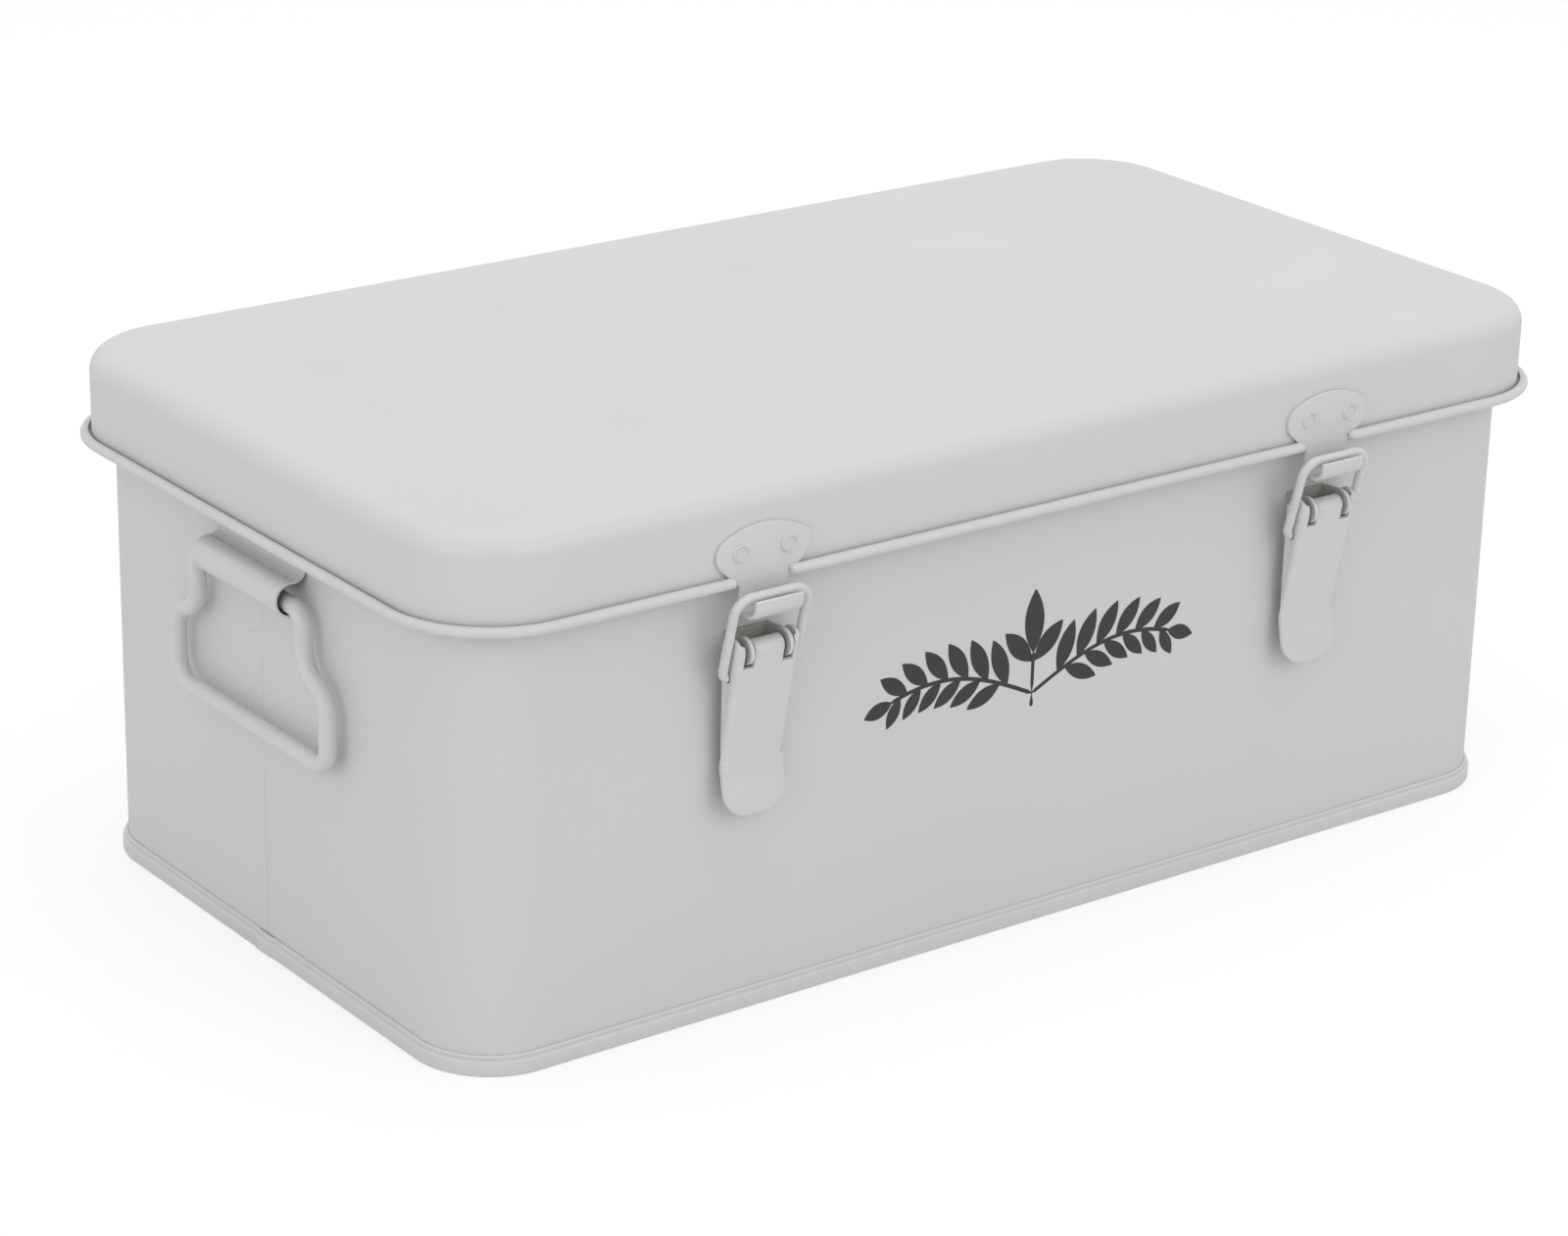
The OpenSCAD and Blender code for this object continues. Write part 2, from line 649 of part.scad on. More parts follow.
module hinge_box_leaf(side) color(coat_colour) {
    r = hinge_barrel_r;
    knuckle = hinge_knuckle - knuckle_gap;
    out_z = -r - box_leaf_neck;
    difference() {
        at_hinge(side) {
            for (end = [-1, 1]) along_x(end * (hinge_width - knuckle) / 2, knuckle) difference() {
                union() {
                    circle(r = r);
                    translate([-r, -knuckle_cut]) square([hinge_t, knuckle_cut]);
                }
                circle(r = hinge_pin_d / 2 + 0.02);
            }
            along_x(0, hinge_width) leaf_section(-r, wall_y - hinge_y, out_z, out_z - box_leaf_step,
                -box_rivet_drop - box_leaf_margin);
        }
        at_hinge_rivets(wall_y, hinge_box_rivet_z) rivet_hole(4 * hinge_t);
    }
}

module hinge_lid_leaf(side) color(coat_colour) {
    r = hinge_barrel_r;
    over_rim = lid_curl_z + lid_curl_r + rim_clearance - hinge_z;
    difference() {
        at_hinge(side) {
            along_x(0, hinge_knuckle - knuckle_gap) difference() {
                union() {
                    circle(r = r);
                    translate([r - hinge_t, 0]) square([hinge_t, knuckle_cut]);
                }
                circle(r = hinge_pin_d / 2 + hinge_fit);
            }
            along_x(0, hinge_width) leaf_section(r - hinge_t, lid_wall_y - hinge_y, over_rim,
                over_rim + lid_leaf_step, lid_rivet_rise + lid_leaf_margin);
        }
        at_hinge_rivets(lid_wall_y, hinge_lid_rivet_z) rivet_hole(4 * hinge_t);
    }
}

module hinge_pin(side) color(steel_colour) {
    at_hinge(side) along_x(0, hinge_width + 0.4) circle(d = hinge_pin_d);
}

module hinge_box_rivets() color(coat_colour) {
    at_hinge_rivets(wall_y, hinge_box_rivet_z) translate([0, 0, hinge_t]) rivet(hinge_t + sheet);
}

module hinge_lid_rivets() color(coat_colour) {
    at_hinge_rivets(lid_wall_y, hinge_lid_rivet_z) translate([0, 0, hinge_t]) rivet(hinge_t + sheet);
}

// Dividers: one lengthwise partition and the cross dividers that lock over it with half-lap slots
module hem(length) {
    rotate([0, 90, 0]) cylinder(r = hem_r, h = length, center = true, $fn = 24);
}

module lengthwise_partition() color(shade_colour) {
    top_z = floor_z + divider_height;
    difference() {
        union() {
            translate([-inner_x, -divider_t / 2, floor_z]) cube([2 * inner_x, divider_t, divider_height]);
            for (end = [0, 180]) rotate([0, 0, end])
                translate([inner_x - divider_t, -divider_t / 2, floor_z])
                    cube([divider_t, divider_flange, divider_height]);
            translate([0, 0, top_z]) hem(2 * inner_x - 2 * divider_flange);
        }
        for (i = [1:cross_dividers])
            translate([i * divider_pitch - inner_x - lap_slot / 2, -2 * hem_r, floor_z + divider_height / 2])
                cube([lap_slot, 4 * hem_r, divider_height]);
    }
}

module cross_divider(i) color(shade_colour) {
    width = 2 * (inner_y - divider_side_gap);
    x = i * divider_pitch - inner_x;
    difference() {
        union() {
            translate([x - divider_t / 2, -width / 2, floor_z]) cube([divider_t, width, divider_height]);
            translate([x, 0, floor_z + divider_height]) rotate([0, 0, 90]) hem(width - 2 * body_corner_r);
        }
        translate([x - 2 * hem_r, -lap_slot / 2, floor_z - 1])
            cube([4 * hem_r, lap_slot, divider_height / 2 + 1]);
    }
}

body_shell();
bottom_panel();
lid_shell();
lengthwise_partition();
cross_divider(1);  // cross_divider_1
cross_divider(2);  // cross_divider_2
cross_divider(3);  // cross_divider_3
latch_strike(-1);  // left_latch_strike
latch_strike(1);  // right_latch_strike
strike_rivets();
latch_base(-1);  // left_latch_base
latch_base(1);  // right_latch_base
latch_base_rivets();
latch_pin(-1);  // left_latch_pin
latch_pin(1);  // right_latch_pin
latch_lever(-1);  // left_latch_lever
latch_lever(1);  // right_latch_lever
latch_bail(-1);  // left_latch_bail
latch_bail(1);  // right_latch_bail
handle_bracket(-1);  // left_handle_bracket
handle_bracket(1);  // right_handle_bracket
handle_bracket_rivets();
end_handle(-1);  // left_end_handle
end_handle(1);  // right_end_handle
hinge_box_leaf(-1);  // left_hinge_box_leaf
hinge_box_leaf(1);  // right_hinge_box_leaf
hinge_lid_leaf(-1);  // left_hinge_lid_leaf
hinge_lid_leaf(1);  // right_hinge_lid_leaf
hinge_pin(-1);  // left_hinge_pin
hinge_pin(1);  // right_hinge_pin
hinge_box_rivets();
hinge_lid_rivets();
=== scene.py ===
import math

import bmesh
import bpy
from mathutils import Matrix, Vector


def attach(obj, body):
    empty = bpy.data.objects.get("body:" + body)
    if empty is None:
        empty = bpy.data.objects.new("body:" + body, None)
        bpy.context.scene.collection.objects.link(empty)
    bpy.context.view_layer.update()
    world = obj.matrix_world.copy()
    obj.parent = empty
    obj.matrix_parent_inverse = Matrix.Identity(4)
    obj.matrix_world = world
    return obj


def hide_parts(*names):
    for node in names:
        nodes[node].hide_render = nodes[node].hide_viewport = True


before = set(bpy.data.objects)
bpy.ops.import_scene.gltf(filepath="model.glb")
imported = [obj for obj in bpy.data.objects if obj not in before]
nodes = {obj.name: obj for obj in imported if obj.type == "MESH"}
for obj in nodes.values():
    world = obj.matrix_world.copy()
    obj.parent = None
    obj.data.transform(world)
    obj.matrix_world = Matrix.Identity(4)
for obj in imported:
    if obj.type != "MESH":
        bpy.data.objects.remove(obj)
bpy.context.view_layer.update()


# The table and the light tent: a pale matt table top that runs out to white, an even white
# surround, and large soft lamps overhead, in front and to the left.
half_table = 6.0
table_tone = 0.80
table_seen_tone = 0.45
table_lift = 0.62
tent_tone = (0.985, 0.99, 1.0)
tent_strength = 0.68
seen_white = 1.0


def feed(tree, node, values):
    """Sets a node's inputs to numbers or colours, or wires the sockets of other nodes to them."""
    for key, value in values.items():
        if isinstance(value, bpy.types.NodeSocket):
            tree.links.new(value, node.inputs[key])
        else:
            node.inputs[key].default_value = value


def add_node(tree, kind, values=None, **settings):
    """A new node with its settings and its inputs."""
    node = tree.nodes.new(kind)
    for key, value in settings.items():
        setattr(node, key, value)
    feed(tree, node, values or {})
    return node


def reckon(tree, operation, *values):
    """The result of one step of arithmetic on numbers or sockets."""
    return add_node(tree, "ShaderNodeMath", dict(enumerate(values)), operation=operation).outputs[0]


def tint(tone, strength=1.0):
    return (*[c * strength for c in tone], 1)


def blend(tree, share, one, other):
    """The colour that lies at the share of the way from one colour to the other."""
    mix = add_node(tree, "ShaderNodeMix", {"Factor": share, "A": one, "B": other},
                   data_type="RGBA")
    return mix.outputs["Result"]


world = bpy.data.worlds.new("light_tent")
bpy.context.scene.world = world
world.use_nodes = True
sky = world.node_tree
sky.nodes.clear()
rays = add_node(sky, "ShaderNodeLightPath").outputs
seen = reckon(sky, "MAXIMUM", rays["Is Camera Ray"], rays["Is Glossy Ray"])
seen = reckon(sky, "MAXIMUM", seen, rays["Is Transmission Ray"])
tent = add_node(sky, "ShaderNodeBackground", {"Color": tint(tent_tone), "Strength": tent_strength})
backdrop = add_node(sky, "ShaderNodeBackground", {"Color": (1, 1, 1, 1), "Strength": seen_white})
surround = add_node(sky, "ShaderNodeMixShader",
                    {0: seen, 1: tent.outputs[0], 2: backdrop.outputs[0]})
add_node(sky, "ShaderNodeOutputWorld", {"Surface": surround.outputs[0]})

table_mesh = bpy.data.meshes.new("table")
table_mesh.from_pydata([(x * half_table, y * half_table, 0)
                        for (x, y) in ((-1, -1), (1, -1), (1, 1), (-1, 1))], [], [(0, 1, 2, 3)])
table = bpy.data.objects.new("table", table_mesh)
bpy.context.collection.objects.link(table)
table_top = bpy.data.materials.new("table_top")
table_top.use_nodes = True
top = table_top.node_tree
top.nodes.clear()
to_camera = add_node(top, "ShaderNodeLightPath").outputs["Is Camera Ray"]
top_colour = blend(top, to_camera, tint([table_tone] * 3), tint([table_seen_tone] * 3))
matt = add_node(top, "ShaderNodeBsdfDiffuse", {"Color": top_colour})
lift = add_node(top, "ShaderNodeEmission",
                {"Strength": reckon(top, "MULTIPLY", to_camera, table_lift)})
both = add_node(top, "ShaderNodeAddShader", {0: matt.outputs[0], 1: lift.outputs[0]})
add_node(top, "ShaderNodeOutputMaterial", {"Surface": both.outputs[0]})
table_mesh.materials.append(table_top)


def soft_lamp(name, place, aim, size, power):
    data = bpy.data.lights.new(name, "AREA")
    data.shape = "SQUARE"
    data.size = size
    data.energy = power
    lamp = bpy.data.objects.new(name, data)
    lamp.location = place
    lamp.rotation_euler = (Vector(aim) - Vector(place)).to_track_quat("-Z", "Y").to_euler()
    bpy.context.collection.objects.link(lamp)


soft_lamp("lamp_overhead", place=(0.15, 0.1, 1.5), aim=(0, 0, 0.05), size=1.5, power=5.0)
soft_lamp("lamp_front", place=(0.4, -1.7, 0.9), aim=(0, 0, 0.06), size=1.0, power=4.5)
soft_lamp("lamp_left", place=(-1.7, -0.5, 0.7), aim=(0, 0, 0.06), size=1.0, power=4.0)


# The camera stands where the photograph was taken from: the angles, the distance and the
# lens were solved from the straight edges of the box in the photograph.
camera_azimuth = math.radians(-36.977)
camera_elevation = math.radians(21.119)
camera_roll = math.radians(1.3147)
camera_distance = 1.0999
camera_aim = Vector((-0.01056, 0.0, 0.0527))
sensor = 36.0
lens_in_pixels = 4563.69
image_width = 1600
nearest_seen = 0.05

back = Vector((math.sin(camera_azimuth) * math.cos(camera_elevation),
               -math.cos(camera_azimuth) * math.cos(camera_elevation),
               math.sin(camera_elevation)))
level = Vector((0, 0, 1)).cross(back).normalized()
upright = back.cross(level)
right = math.cos(camera_roll) * level + math.sin(camera_roll) * upright
up = math.cos(camera_roll) * upright - math.sin(camera_roll) * level
camera_data = bpy.data.cameras.new("camera")
camera_data.sensor_width = sensor
camera_data.lens = sensor * lens_in_pixels / image_width
camera_data.clip_start = nearest_seen
camera = bpy.data.objects.new("camera", camera_data)
stand = Matrix((right, up, back)).transposed().to_4x4()
stand.translation = camera_aim + camera_distance * back
camera.matrix_world = stand
bpy.context.collection.objects.link(camera)
bpy.context.scene.camera = camera
bpy.context.scene.view_settings.view_transform = "Standard"


# The lid is one drawn steel pan, 324 by 176 mm, with a soft edge round its flat top. It is
# pressed from 0.7 mm sheet and carries the same pale powder coat inside and out.
mm = 0.001
lid_length = 324.0
lid_width = 176.0
lid_corner = 24.0
lid_top = 127.5
lid_edge = 5.3
lid_wall_end = 106.7
sheet = 0.7
coat_tone = (0.688, 0.69, 0.695)
mottle_tints = (0.99, 1.008)
speck_tint = 0.80
specks_above = 0.66
chip_tint = 0.72


def new_finish(name):
    """A new material with its tree, its shader and the place on the piece."""
    made = bpy.data.materials.new(name)
    made.use_nodes = True
    tree = made.node_tree
    place = add_node(tree, "ShaderNodeTexCoord").outputs["Object"]
    return made, tree, tree.nodes["Principled BSDF"], place


def powder_coat(name, tone, rough=0.40, peel=0.05, chips=()):
    """Sprayed and baked powder: a faint mottle, specks of dust, orange peel and slow waves in
    the sheet, with a few chips, each given by its middle and its radius in mm."""
    made, tree, shader, place = new_finish(name)

    def noise(scale, detail):
        values = {"Vector": place, "Scale": scale, "Detail": detail}
        return add_node(tree, "ShaderNodeTexNoise", values).outputs["Fac"]

    def ramp(source, start, end, low, high):
        values = {"Value": source, "From Min": start, "From Max": end,
                  "To Min": low, "To Max": high}
        return add_node(tree, "ShaderNodeMapRange", values).outputs["Result"]

    def spread(source, low, high):
        return ramp(source, start=0.3, end=0.7, low=low, high=high)

    def bump(strength, distance, height, **under):
        values = {"Strength": strength, "Distance": distance, "Height": height, **under}
        return add_node(tree, "ShaderNodeBump", values).outputs["Normal"]

    mottle = spread(noise(scale=14, detail=3), low=0, high=1)
    colour = blend(tree, mottle, *[tint(tone, share) for share in mottle_tints])
    speck = add_node(tree, "ShaderNodeTexVoronoi", {"Vector": place, "Scale": 420})
    dust = ramp(speck.outputs["Distance"], start=0.02, end=0.09, low=1, high=0)
    sparse = reckon(tree, "GREATER_THAN", noise(scale=60, detail=2), specks_above)
    specks = reckon(tree, "MULTIPLY", dust, sparse)
    colour = blend(tree, specks, colour, tint(tone, speck_tint))
    for (middle, radius) in chips:
        away = add_node(tree, "ShaderNodeVectorMath", {0: place, 1: [c * mm for c in middle]},
                        operation="DISTANCE")
        ragged = spread(noise(scale=900, detail=3), low=0.7, high=1.6)
        edge = reckon(tree, "MULTIPLY", away.outputs["Value"], ragged)
        inside = reckon(tree, "LESS_THAN", edge, radius * mm)
        colour = blend(tree, inside, colour, tint(tone, chip_tint))

    waves = bump(strength=0.04, distance=0.0006, height=noise(scale=16, detail=2))
    orange_peel = bump(strength=peel, distance=0.0002,
                       height=noise(scale=1100, detail=2), Normal=waves)
    feed(tree, shader, {
        "Base Color": colour,
        "Roughness": spread(noise(scale=35, detail=4), rough - 0.05, rough + 0.06),
        "Specular IOR Level": 0.42,
        "Normal": orange_peel})
    return made


def wall_path(length, width, corner, turn, extra=()):
    """Places, outward directions and dents round a rectangle with rounded corners, from the
    right end wall on. The extra stops, each a y and a dent, lie on the left end wall."""
    path = []
    for k, (to_right, to_rear) in enumerate(((1, 1), (-1, 1), (-1, -1), (1, -1))):
        cx = (length / 2 - corner) * to_right
        cy = (width / 2 - corner) * to_rear
        for step in range(turn + 1):
            a = math.radians(90 * k + 90 * step / turn)
            nx, ny = math.cos(a), math.sin(a)
            path.append((cx + corner * nx, cy + corner * ny, nx, ny, 0))
        if k == 1:
            path += [(-length / 2, y, -1, 0, dent) for (y, dent) in extra]
    return path


def as_piece(name, made):
    """Turns a bmesh into an object, with all its faces outwards."""
    bmesh.ops.recalc_face_normals(made, faces=made.faces)
    mesh = bpy.data.meshes.new(name)
    made.to_mesh(mesh)
    made.free()
    piece = bpy.data.objects.new(name, mesh)
    bpy.context.collection.objects.link(piece)
    return piece


def sheet_along(name, path, section, capped=False, dent_top=0):
    """Carries a section of (outward, height) points round a path, whose dents are pressed into
    its outer side below dent_top. A capped section is an open line that two flat faces close."""
    outer_side = -0.01
    made = bmesh.new()
    rings = []
    for (x, y, nx, ny, dent) in path:
        ring = []
        for (o, z) in section:
            if o > outer_side and z < dent_top:
                o -= dent
            ring.append(made.verts.new(((x + nx * o) * mm, (y + ny * o) * mm, z * mm)))
        rings.append(ring)
    for ring, after in zip(rings, rings[1:] + rings[:1]):
        for i in range(len(section) - (1 if capped else 0)):
            j = (i + 1) % len(section)
            made.faces.new((ring[i], after[i], after[j], ring[j]))
    if capped:
        made.faces.new([ring[0] for ring in rings])
        made.faces.new([ring[-1] for ring in rings])
    return as_piece(name, made)


def smooth(piece, sharp=32):
    """Shades a piece smooth, apart from its edges that are sharper than the angle."""
    piece.data.shade_smooth()
    piece.data.set_sharp_from_angle(angle=math.radians(sharp))


def arc(cx, cz, radius, start, end, steps):
    """Points on an arc from the start angle to the end angle, in degrees."""
    angles = [math.radians(start + (end - start) * i / steps) for i in range(steps + 1)]
    return [(cx + radius * math.cos(a), cz + radius * math.sin(a)) for a in angles]


coat = powder_coat("pale_powder_coat", coat_tone)
lid_path = wall_path(lid_length, lid_width, lid_corner, turn=28)
lid_section = (arc(-lid_edge, lid_top - lid_edge, lid_edge, 90, 0, 12)
               + [(0, lid_wall_end), (-sheet, lid_wall_end)]
               + arc(-lid_edge, lid_top - lid_edge, lid_edge - sheet, 0, 90, 8))
lid_pan = sheet_along("lid_pan", lid_path, lid_section, capped=True)
smooth(lid_pan)
lid_pan.data.materials.append(coat)
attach(lid_pan, "lid")
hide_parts("lid_shell")


# The lid's rim is the end of the same sheet, folded outwards and curled up into an open bead,
# so that a dark line shows between the bead and the wall. It is cut away at the necks of the
# latch plates, and its cut ends are dressed round.
rim_low = 105.7
rim_fold = 1.0
rim_curl = 1.24
rim_curl_out = 1.45
rim_curl_end = 125
latch_middle = 83.25
rim_gaps = (-8.1, 6.8)
nose_length = 0.7
nose_shrinks = (0.92, 0.75, 0.5, 0.25, 0.001)


def rim_stretch(name, path, section):
    """Carries the rim's section along an open path, whose last number says how far the bead
    has shrunk, and closes both ends."""
    made = bmesh.new()
    rings = []
    middle_o, middle_z = rim_curl_out, rim_low + rim_curl
    for (x, y, nx, ny, shrink) in path:
        ring = []
        for (o, z) in section:
            from_middle = math.hypot(o - middle_o, z - middle_z)
            if shrink > 0 and from_middle < rim_curl - sheet / 2:
                o, z = middle_o, middle_z
            k = math.sqrt(1 - shrink * shrink) if from_middle < rim_curl + 0.01 else 1
            o, z = middle_o + (o - middle_o) * k, middle_z + (z - middle_z) * k
            ring.append(made.verts.new(((x + nx * o) * mm, (y + ny * o) * mm, z * mm)))
        rings.append(ring)
    for ring, after in zip(rings, rings[1:]):
        for i in range(len(section)):
            j = (i + 1) % len(section)
            made.faces.new((ring[i], after[i], after[j], ring[j]))
    made.faces.new(rings[0])
    made.faces.new(rings[-1])
    return as_piece(name, made)


def nose_at(x, way):
    """The rounded end of the rim at x, which runs away from the cut in the direction of way."""
    return [(x + way * nose_length * (1 - t), -lid_width / 2, 0, -1, t) for t in nose_shrinks]


rim_section = (arc(rim_fold - sheet, rim_low + rim_fold, rim_fold, 180, 270, 6)
               + arc(rim_curl_out, rim_low + rim_curl, rim_curl, -90, rim_curl_end, 20)
               + arc(rim_curl_out, rim_low + rim_curl, rim_curl - sheet, rim_curl_end, -90, 12)
               + arc(rim_fold - sheet, rim_low + rim_fold, rim_fold - sheet, 270, 180, 4))
front_wall_starts = 3 * len(lid_path) // 4
round_the_back = lid_path[front_wall_starts:] + lid_path[:front_wall_starts]
for (name, path, first, last) in (
        ("lid_rim_front", [], -latch_middle, latch_middle),
        ("lid_rim_round", round_the_back, latch_middle, -latch_middle)):
    run = nose_at(first + rim_gaps[1], 1) + path + nose_at(last + rim_gaps[0], -1)[::-1]
    lid_rim = rim_stretch(name, run, rim_section)
    smooth(lid_rim)
    lid_rim.data.materials.append(coat)
    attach(lid_rim, "lid")


# The body is a wrapped sheet wall, 313 by 165 mm, closed by an upright lock seam on the left
# end. Its top edge is curled outwards under the lid, where it can't be seen.
body_length = 313.0
body_width = 165.0
body_corner = 18.5
body_top = 126.5
body_roll = 1.35
body_roll_end = -105
wall_foot = 0.75
wall_middle = 60
seam_y = 2.0
seam_half = 0.2
seam_run = 0.5
seam_depth = 0.16
seam_top = 124
wall_chips = [((-156.5, 5.6, 78.6), 0.4)]


def both_sides(middle, side):
    """The same stops on both sides of the middle, from rear to front."""
    return ([(middle + reach, dent) for (reach, dent) in side]
            + [(middle - reach, dent) for (reach, dent) in reversed(side)])


seam_stops = both_sides(seam_y, [(seam_half + seam_run, 0), (seam_half, 0),
                                 (seam_half / 2, seam_depth)])
body_path = wall_path(body_length, body_width, body_corner, turn=24, extra=seam_stops)
roll_middle = (body_roll - sheet, body_top - body_roll)
body_section = ([(0, wall_foot), (0, wall_middle)]
                + arc(*roll_middle, body_roll - sheet, 180, body_roll_end, 16)
                + arc(*roll_middle, body_roll, body_roll_end, 180, 24)
                + [(-sheet, wall_foot)])
body_wall = sheet_along("body_wall", body_path, body_section, dent_top=seam_top)
smooth(body_wall)
body_wall.data.materials.append(powder_coat("wall_powder_coat", coat_tone, chips=wall_chips))
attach(body_wall, "box")
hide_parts("body_shell")


# The bottom is a recessed panel folded round the body's lower edge in a double seam, which
# stands out as a flat band under a fine ridge and is a little thicker over the lock seam.
# The tin rests on this seam alone.
foot_height = 3.7
band_out = 1.4
band_round = 0.6
panel_height = 2.5
panel_top = panel_height + sheet
fold_floor = 0.72
fold_inside = -sheet - 0.02
fold_outside = 0.03
ridge_out = 0.33
ridge_rise = 0.72
ridge_radius = 0.5
shoulder_drop = 0.52
shoulder_radius = 0.62
heel_radius = 0.4
bump_half = 3.0
bump_run = 0.6
bump_out = 0.3
bump_top = foot_height + 2

foot_stops = both_sides(seam_y, [(bump_half + bump_run, 0), (bump_half, -bump_out)])
foot_path = wall_path(body_length, body_width, body_corner, turn=24, extra=foot_stops)
foot_section = (
    [(-2 * sheet, panel_top), (fold_inside, panel_top),
     (fold_inside, fold_floor), (fold_outside, fold_floor)]
    + arc(ridge_out, foot_height + ridge_rise, ridge_radius, 127, -46, 10)
    + arc(band_out - shoulder_radius, foot_height - shoulder_drop, shoulder_radius, 96, 0, 6)
    + arc(band_out - band_round, band_round, band_round, 0, -90, 6)
    + arc(-2 * sheet + heel_radius, heel_radius, heel_radius, -90, -180, 4)
    + [(-2 * sheet, panel_height)])
foot = sheet_along("bottom_pan", foot_path, foot_section, capped=True, dent_top=bump_top)
smooth(foot)
foot.data.materials.append(coat)
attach(foot, "box")
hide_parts("bottom_panel")


# The ornament on the front wall is a sprig printed in charcoal ink, a film a few hundredths
# of a millimetre thick: a seedling, and two leafy stems that leave its foot in low arches.
ink_tone = (0.025, 0.0255, 0.027)
ink_thickness = 0.06
ink_y = -body_width / 2 - ink_thickness / 2
ornament_foot = 55.0
stem_rise = 3.4
stem_reach = 42.0
stem_arch = 9.0
stem_sweep = 2.3
stem_radius = 0.5
stem_film = 0.8 * ink_thickness
stem_steps = 40
stem_sides = 12
stem_rounding = 0.4
leaf_sides = 36
seedling_rises = (stem_rise, 0, 0.4, 1.2, 6.0, 9.0, 12.4, 13.2, 13.8)
seedling_edges = [(1, 2), (2, 3), (3, 0), (0, 4), (4, 5), (5, 6), (6, 7), (7, 8)]
seedling_leaves = ((0, 13.4, 90, 16.0, 5.8), (0.3, 11.4, 46, 12.0, 4.8),
                   (-0.3, 11.4, 134, 12.0, 4.8))
leaf_pairs = 6
first_pair, pairs_run, lower_lag, tip_place = 0.18, 0.70, 0.05, 0.985
upper_leaf = (45, (14.0, 5.0), (4.9, 1.1))
lower_leaf = (-47, (11.7, 4.0), (4.04, 0.8))
tip_leaf = (0, (8.4, 0), (3.8, 0))

ink, ink_tree, ink_shader, ink_place = new_finish("charcoal_ink")
ink_noise = add_node(ink_tree, "ShaderNodeTexNoise",
                     {"Vector": ink_place, "Scale": 700, "Detail": 4}).outputs["Fac"]
ink_bump = add_node(ink_tree, "ShaderNodeBump",
                    {"Strength": 0.06, "Distance": 0.0001, "Height": ink_noise})
feed(ink_tree, ink_shader, {
    "Base Color": blend(ink_tree, ink_noise, tint(ink_tone), tint(ink_tone, 1.5)),
    "Roughness": 0.5,
    "Normal": ink_bump.outputs["Normal"]})


def tree_start(name, inputs):
    """A Geometry Nodes tree with its named inputs, and the sockets that bring them in."""
    tree = bpy.data.node_groups.new(name, "GeometryNodeTree")
    for way in ("OUTPUT", "INPUT"):
        tree.interface.new_socket(name="Geometry", in_out=way,
                                  socket_type="NodeSocketGeometry")
    for label, kind in inputs.items():
        tree.interface.new_socket(name=label, in_out="INPUT", socket_type="NodeSocket" + kind)
    return tree, tree.nodes.new("NodeGroupInput").outputs


def tree_end(tree, geometry, given):
    """Realizes the instances and sets the material, the last two steps of every tree here."""
    real = add_node(tree, "GeometryNodeRealizeInstances", {0: geometry})
    paint = add_node(tree, "GeometryNodeSetMaterial",
                     {"Geometry": real.outputs[0], "Material": given["Material"]})
    add_node(tree, "NodeGroupOutput", {0: paint.outputs[0]})


def said_by_point(tree, name):
    """The vector that each point carries under the name."""
    return add_node(tree, "GeometryNodeInputNamedAttribute", {"Name": name},
                    data_type="FLOAT_VECTOR").outputs["Attribute"]


def on_each_point(tree, given, part, turn, **size):
    """A copy of the part on each point of the piece, turned and sized as asked."""
    spots = add_node(tree, "GeometryNodeMeshToPoints", {"Mesh": given["Geometry"]})
    values = {"Points": spots.outputs["Points"], "Instance": part.outputs["Geometry"],
              "Rotation": turn.outputs[0], **size}
    return add_node(tree, "GeometryNodeInstanceOnPoints", values).outputs["Instances"]


def leaf_tree():
    """A flat pointed leaf on each point, as long, as wide and as turned as the point says."""
    tree, given = tree_start("printed_leaf", {"Thickness": "Float", "Sides": "Int",
                                              "Material": "Material"})
    disc = add_node(tree, "GeometryNodeMeshCylinder",
                    {"Vertices": given["Sides"], "Radius": 1.0, "Depth": given["Thickness"]})
    place = add_node(tree, "GeometryNodeInputPosition").outputs[0]
    parts = add_node(tree, "ShaderNodeSeparateXYZ", {0: place}).outputs
    from_foot = reckon(tree, "ADD", parts["X"], 1.0)
    pinched = reckon(tree, "MULTIPLY", parts["Y"], reckon(tree, "ABSOLUTE", parts["Y"]))
    pointed = add_node(tree, "ShaderNodeCombineXYZ",
                       {"X": from_foot, "Y": pinched, "Z": parts["Z"]})
    leaf = add_node(tree, "GeometryNodeSetPosition",
                    {"Geometry": disc.outputs["Mesh"], "Position": pointed.outputs[0]})
    turn = add_node(tree, "FunctionNodeEulerToRotation", {0: said_by_point(tree, "turn")})
    leaves = on_each_point(tree, given, leaf, turn, Scale=said_by_point(tree, "size"))
    tree_end(tree, leaves, given)
    return tree


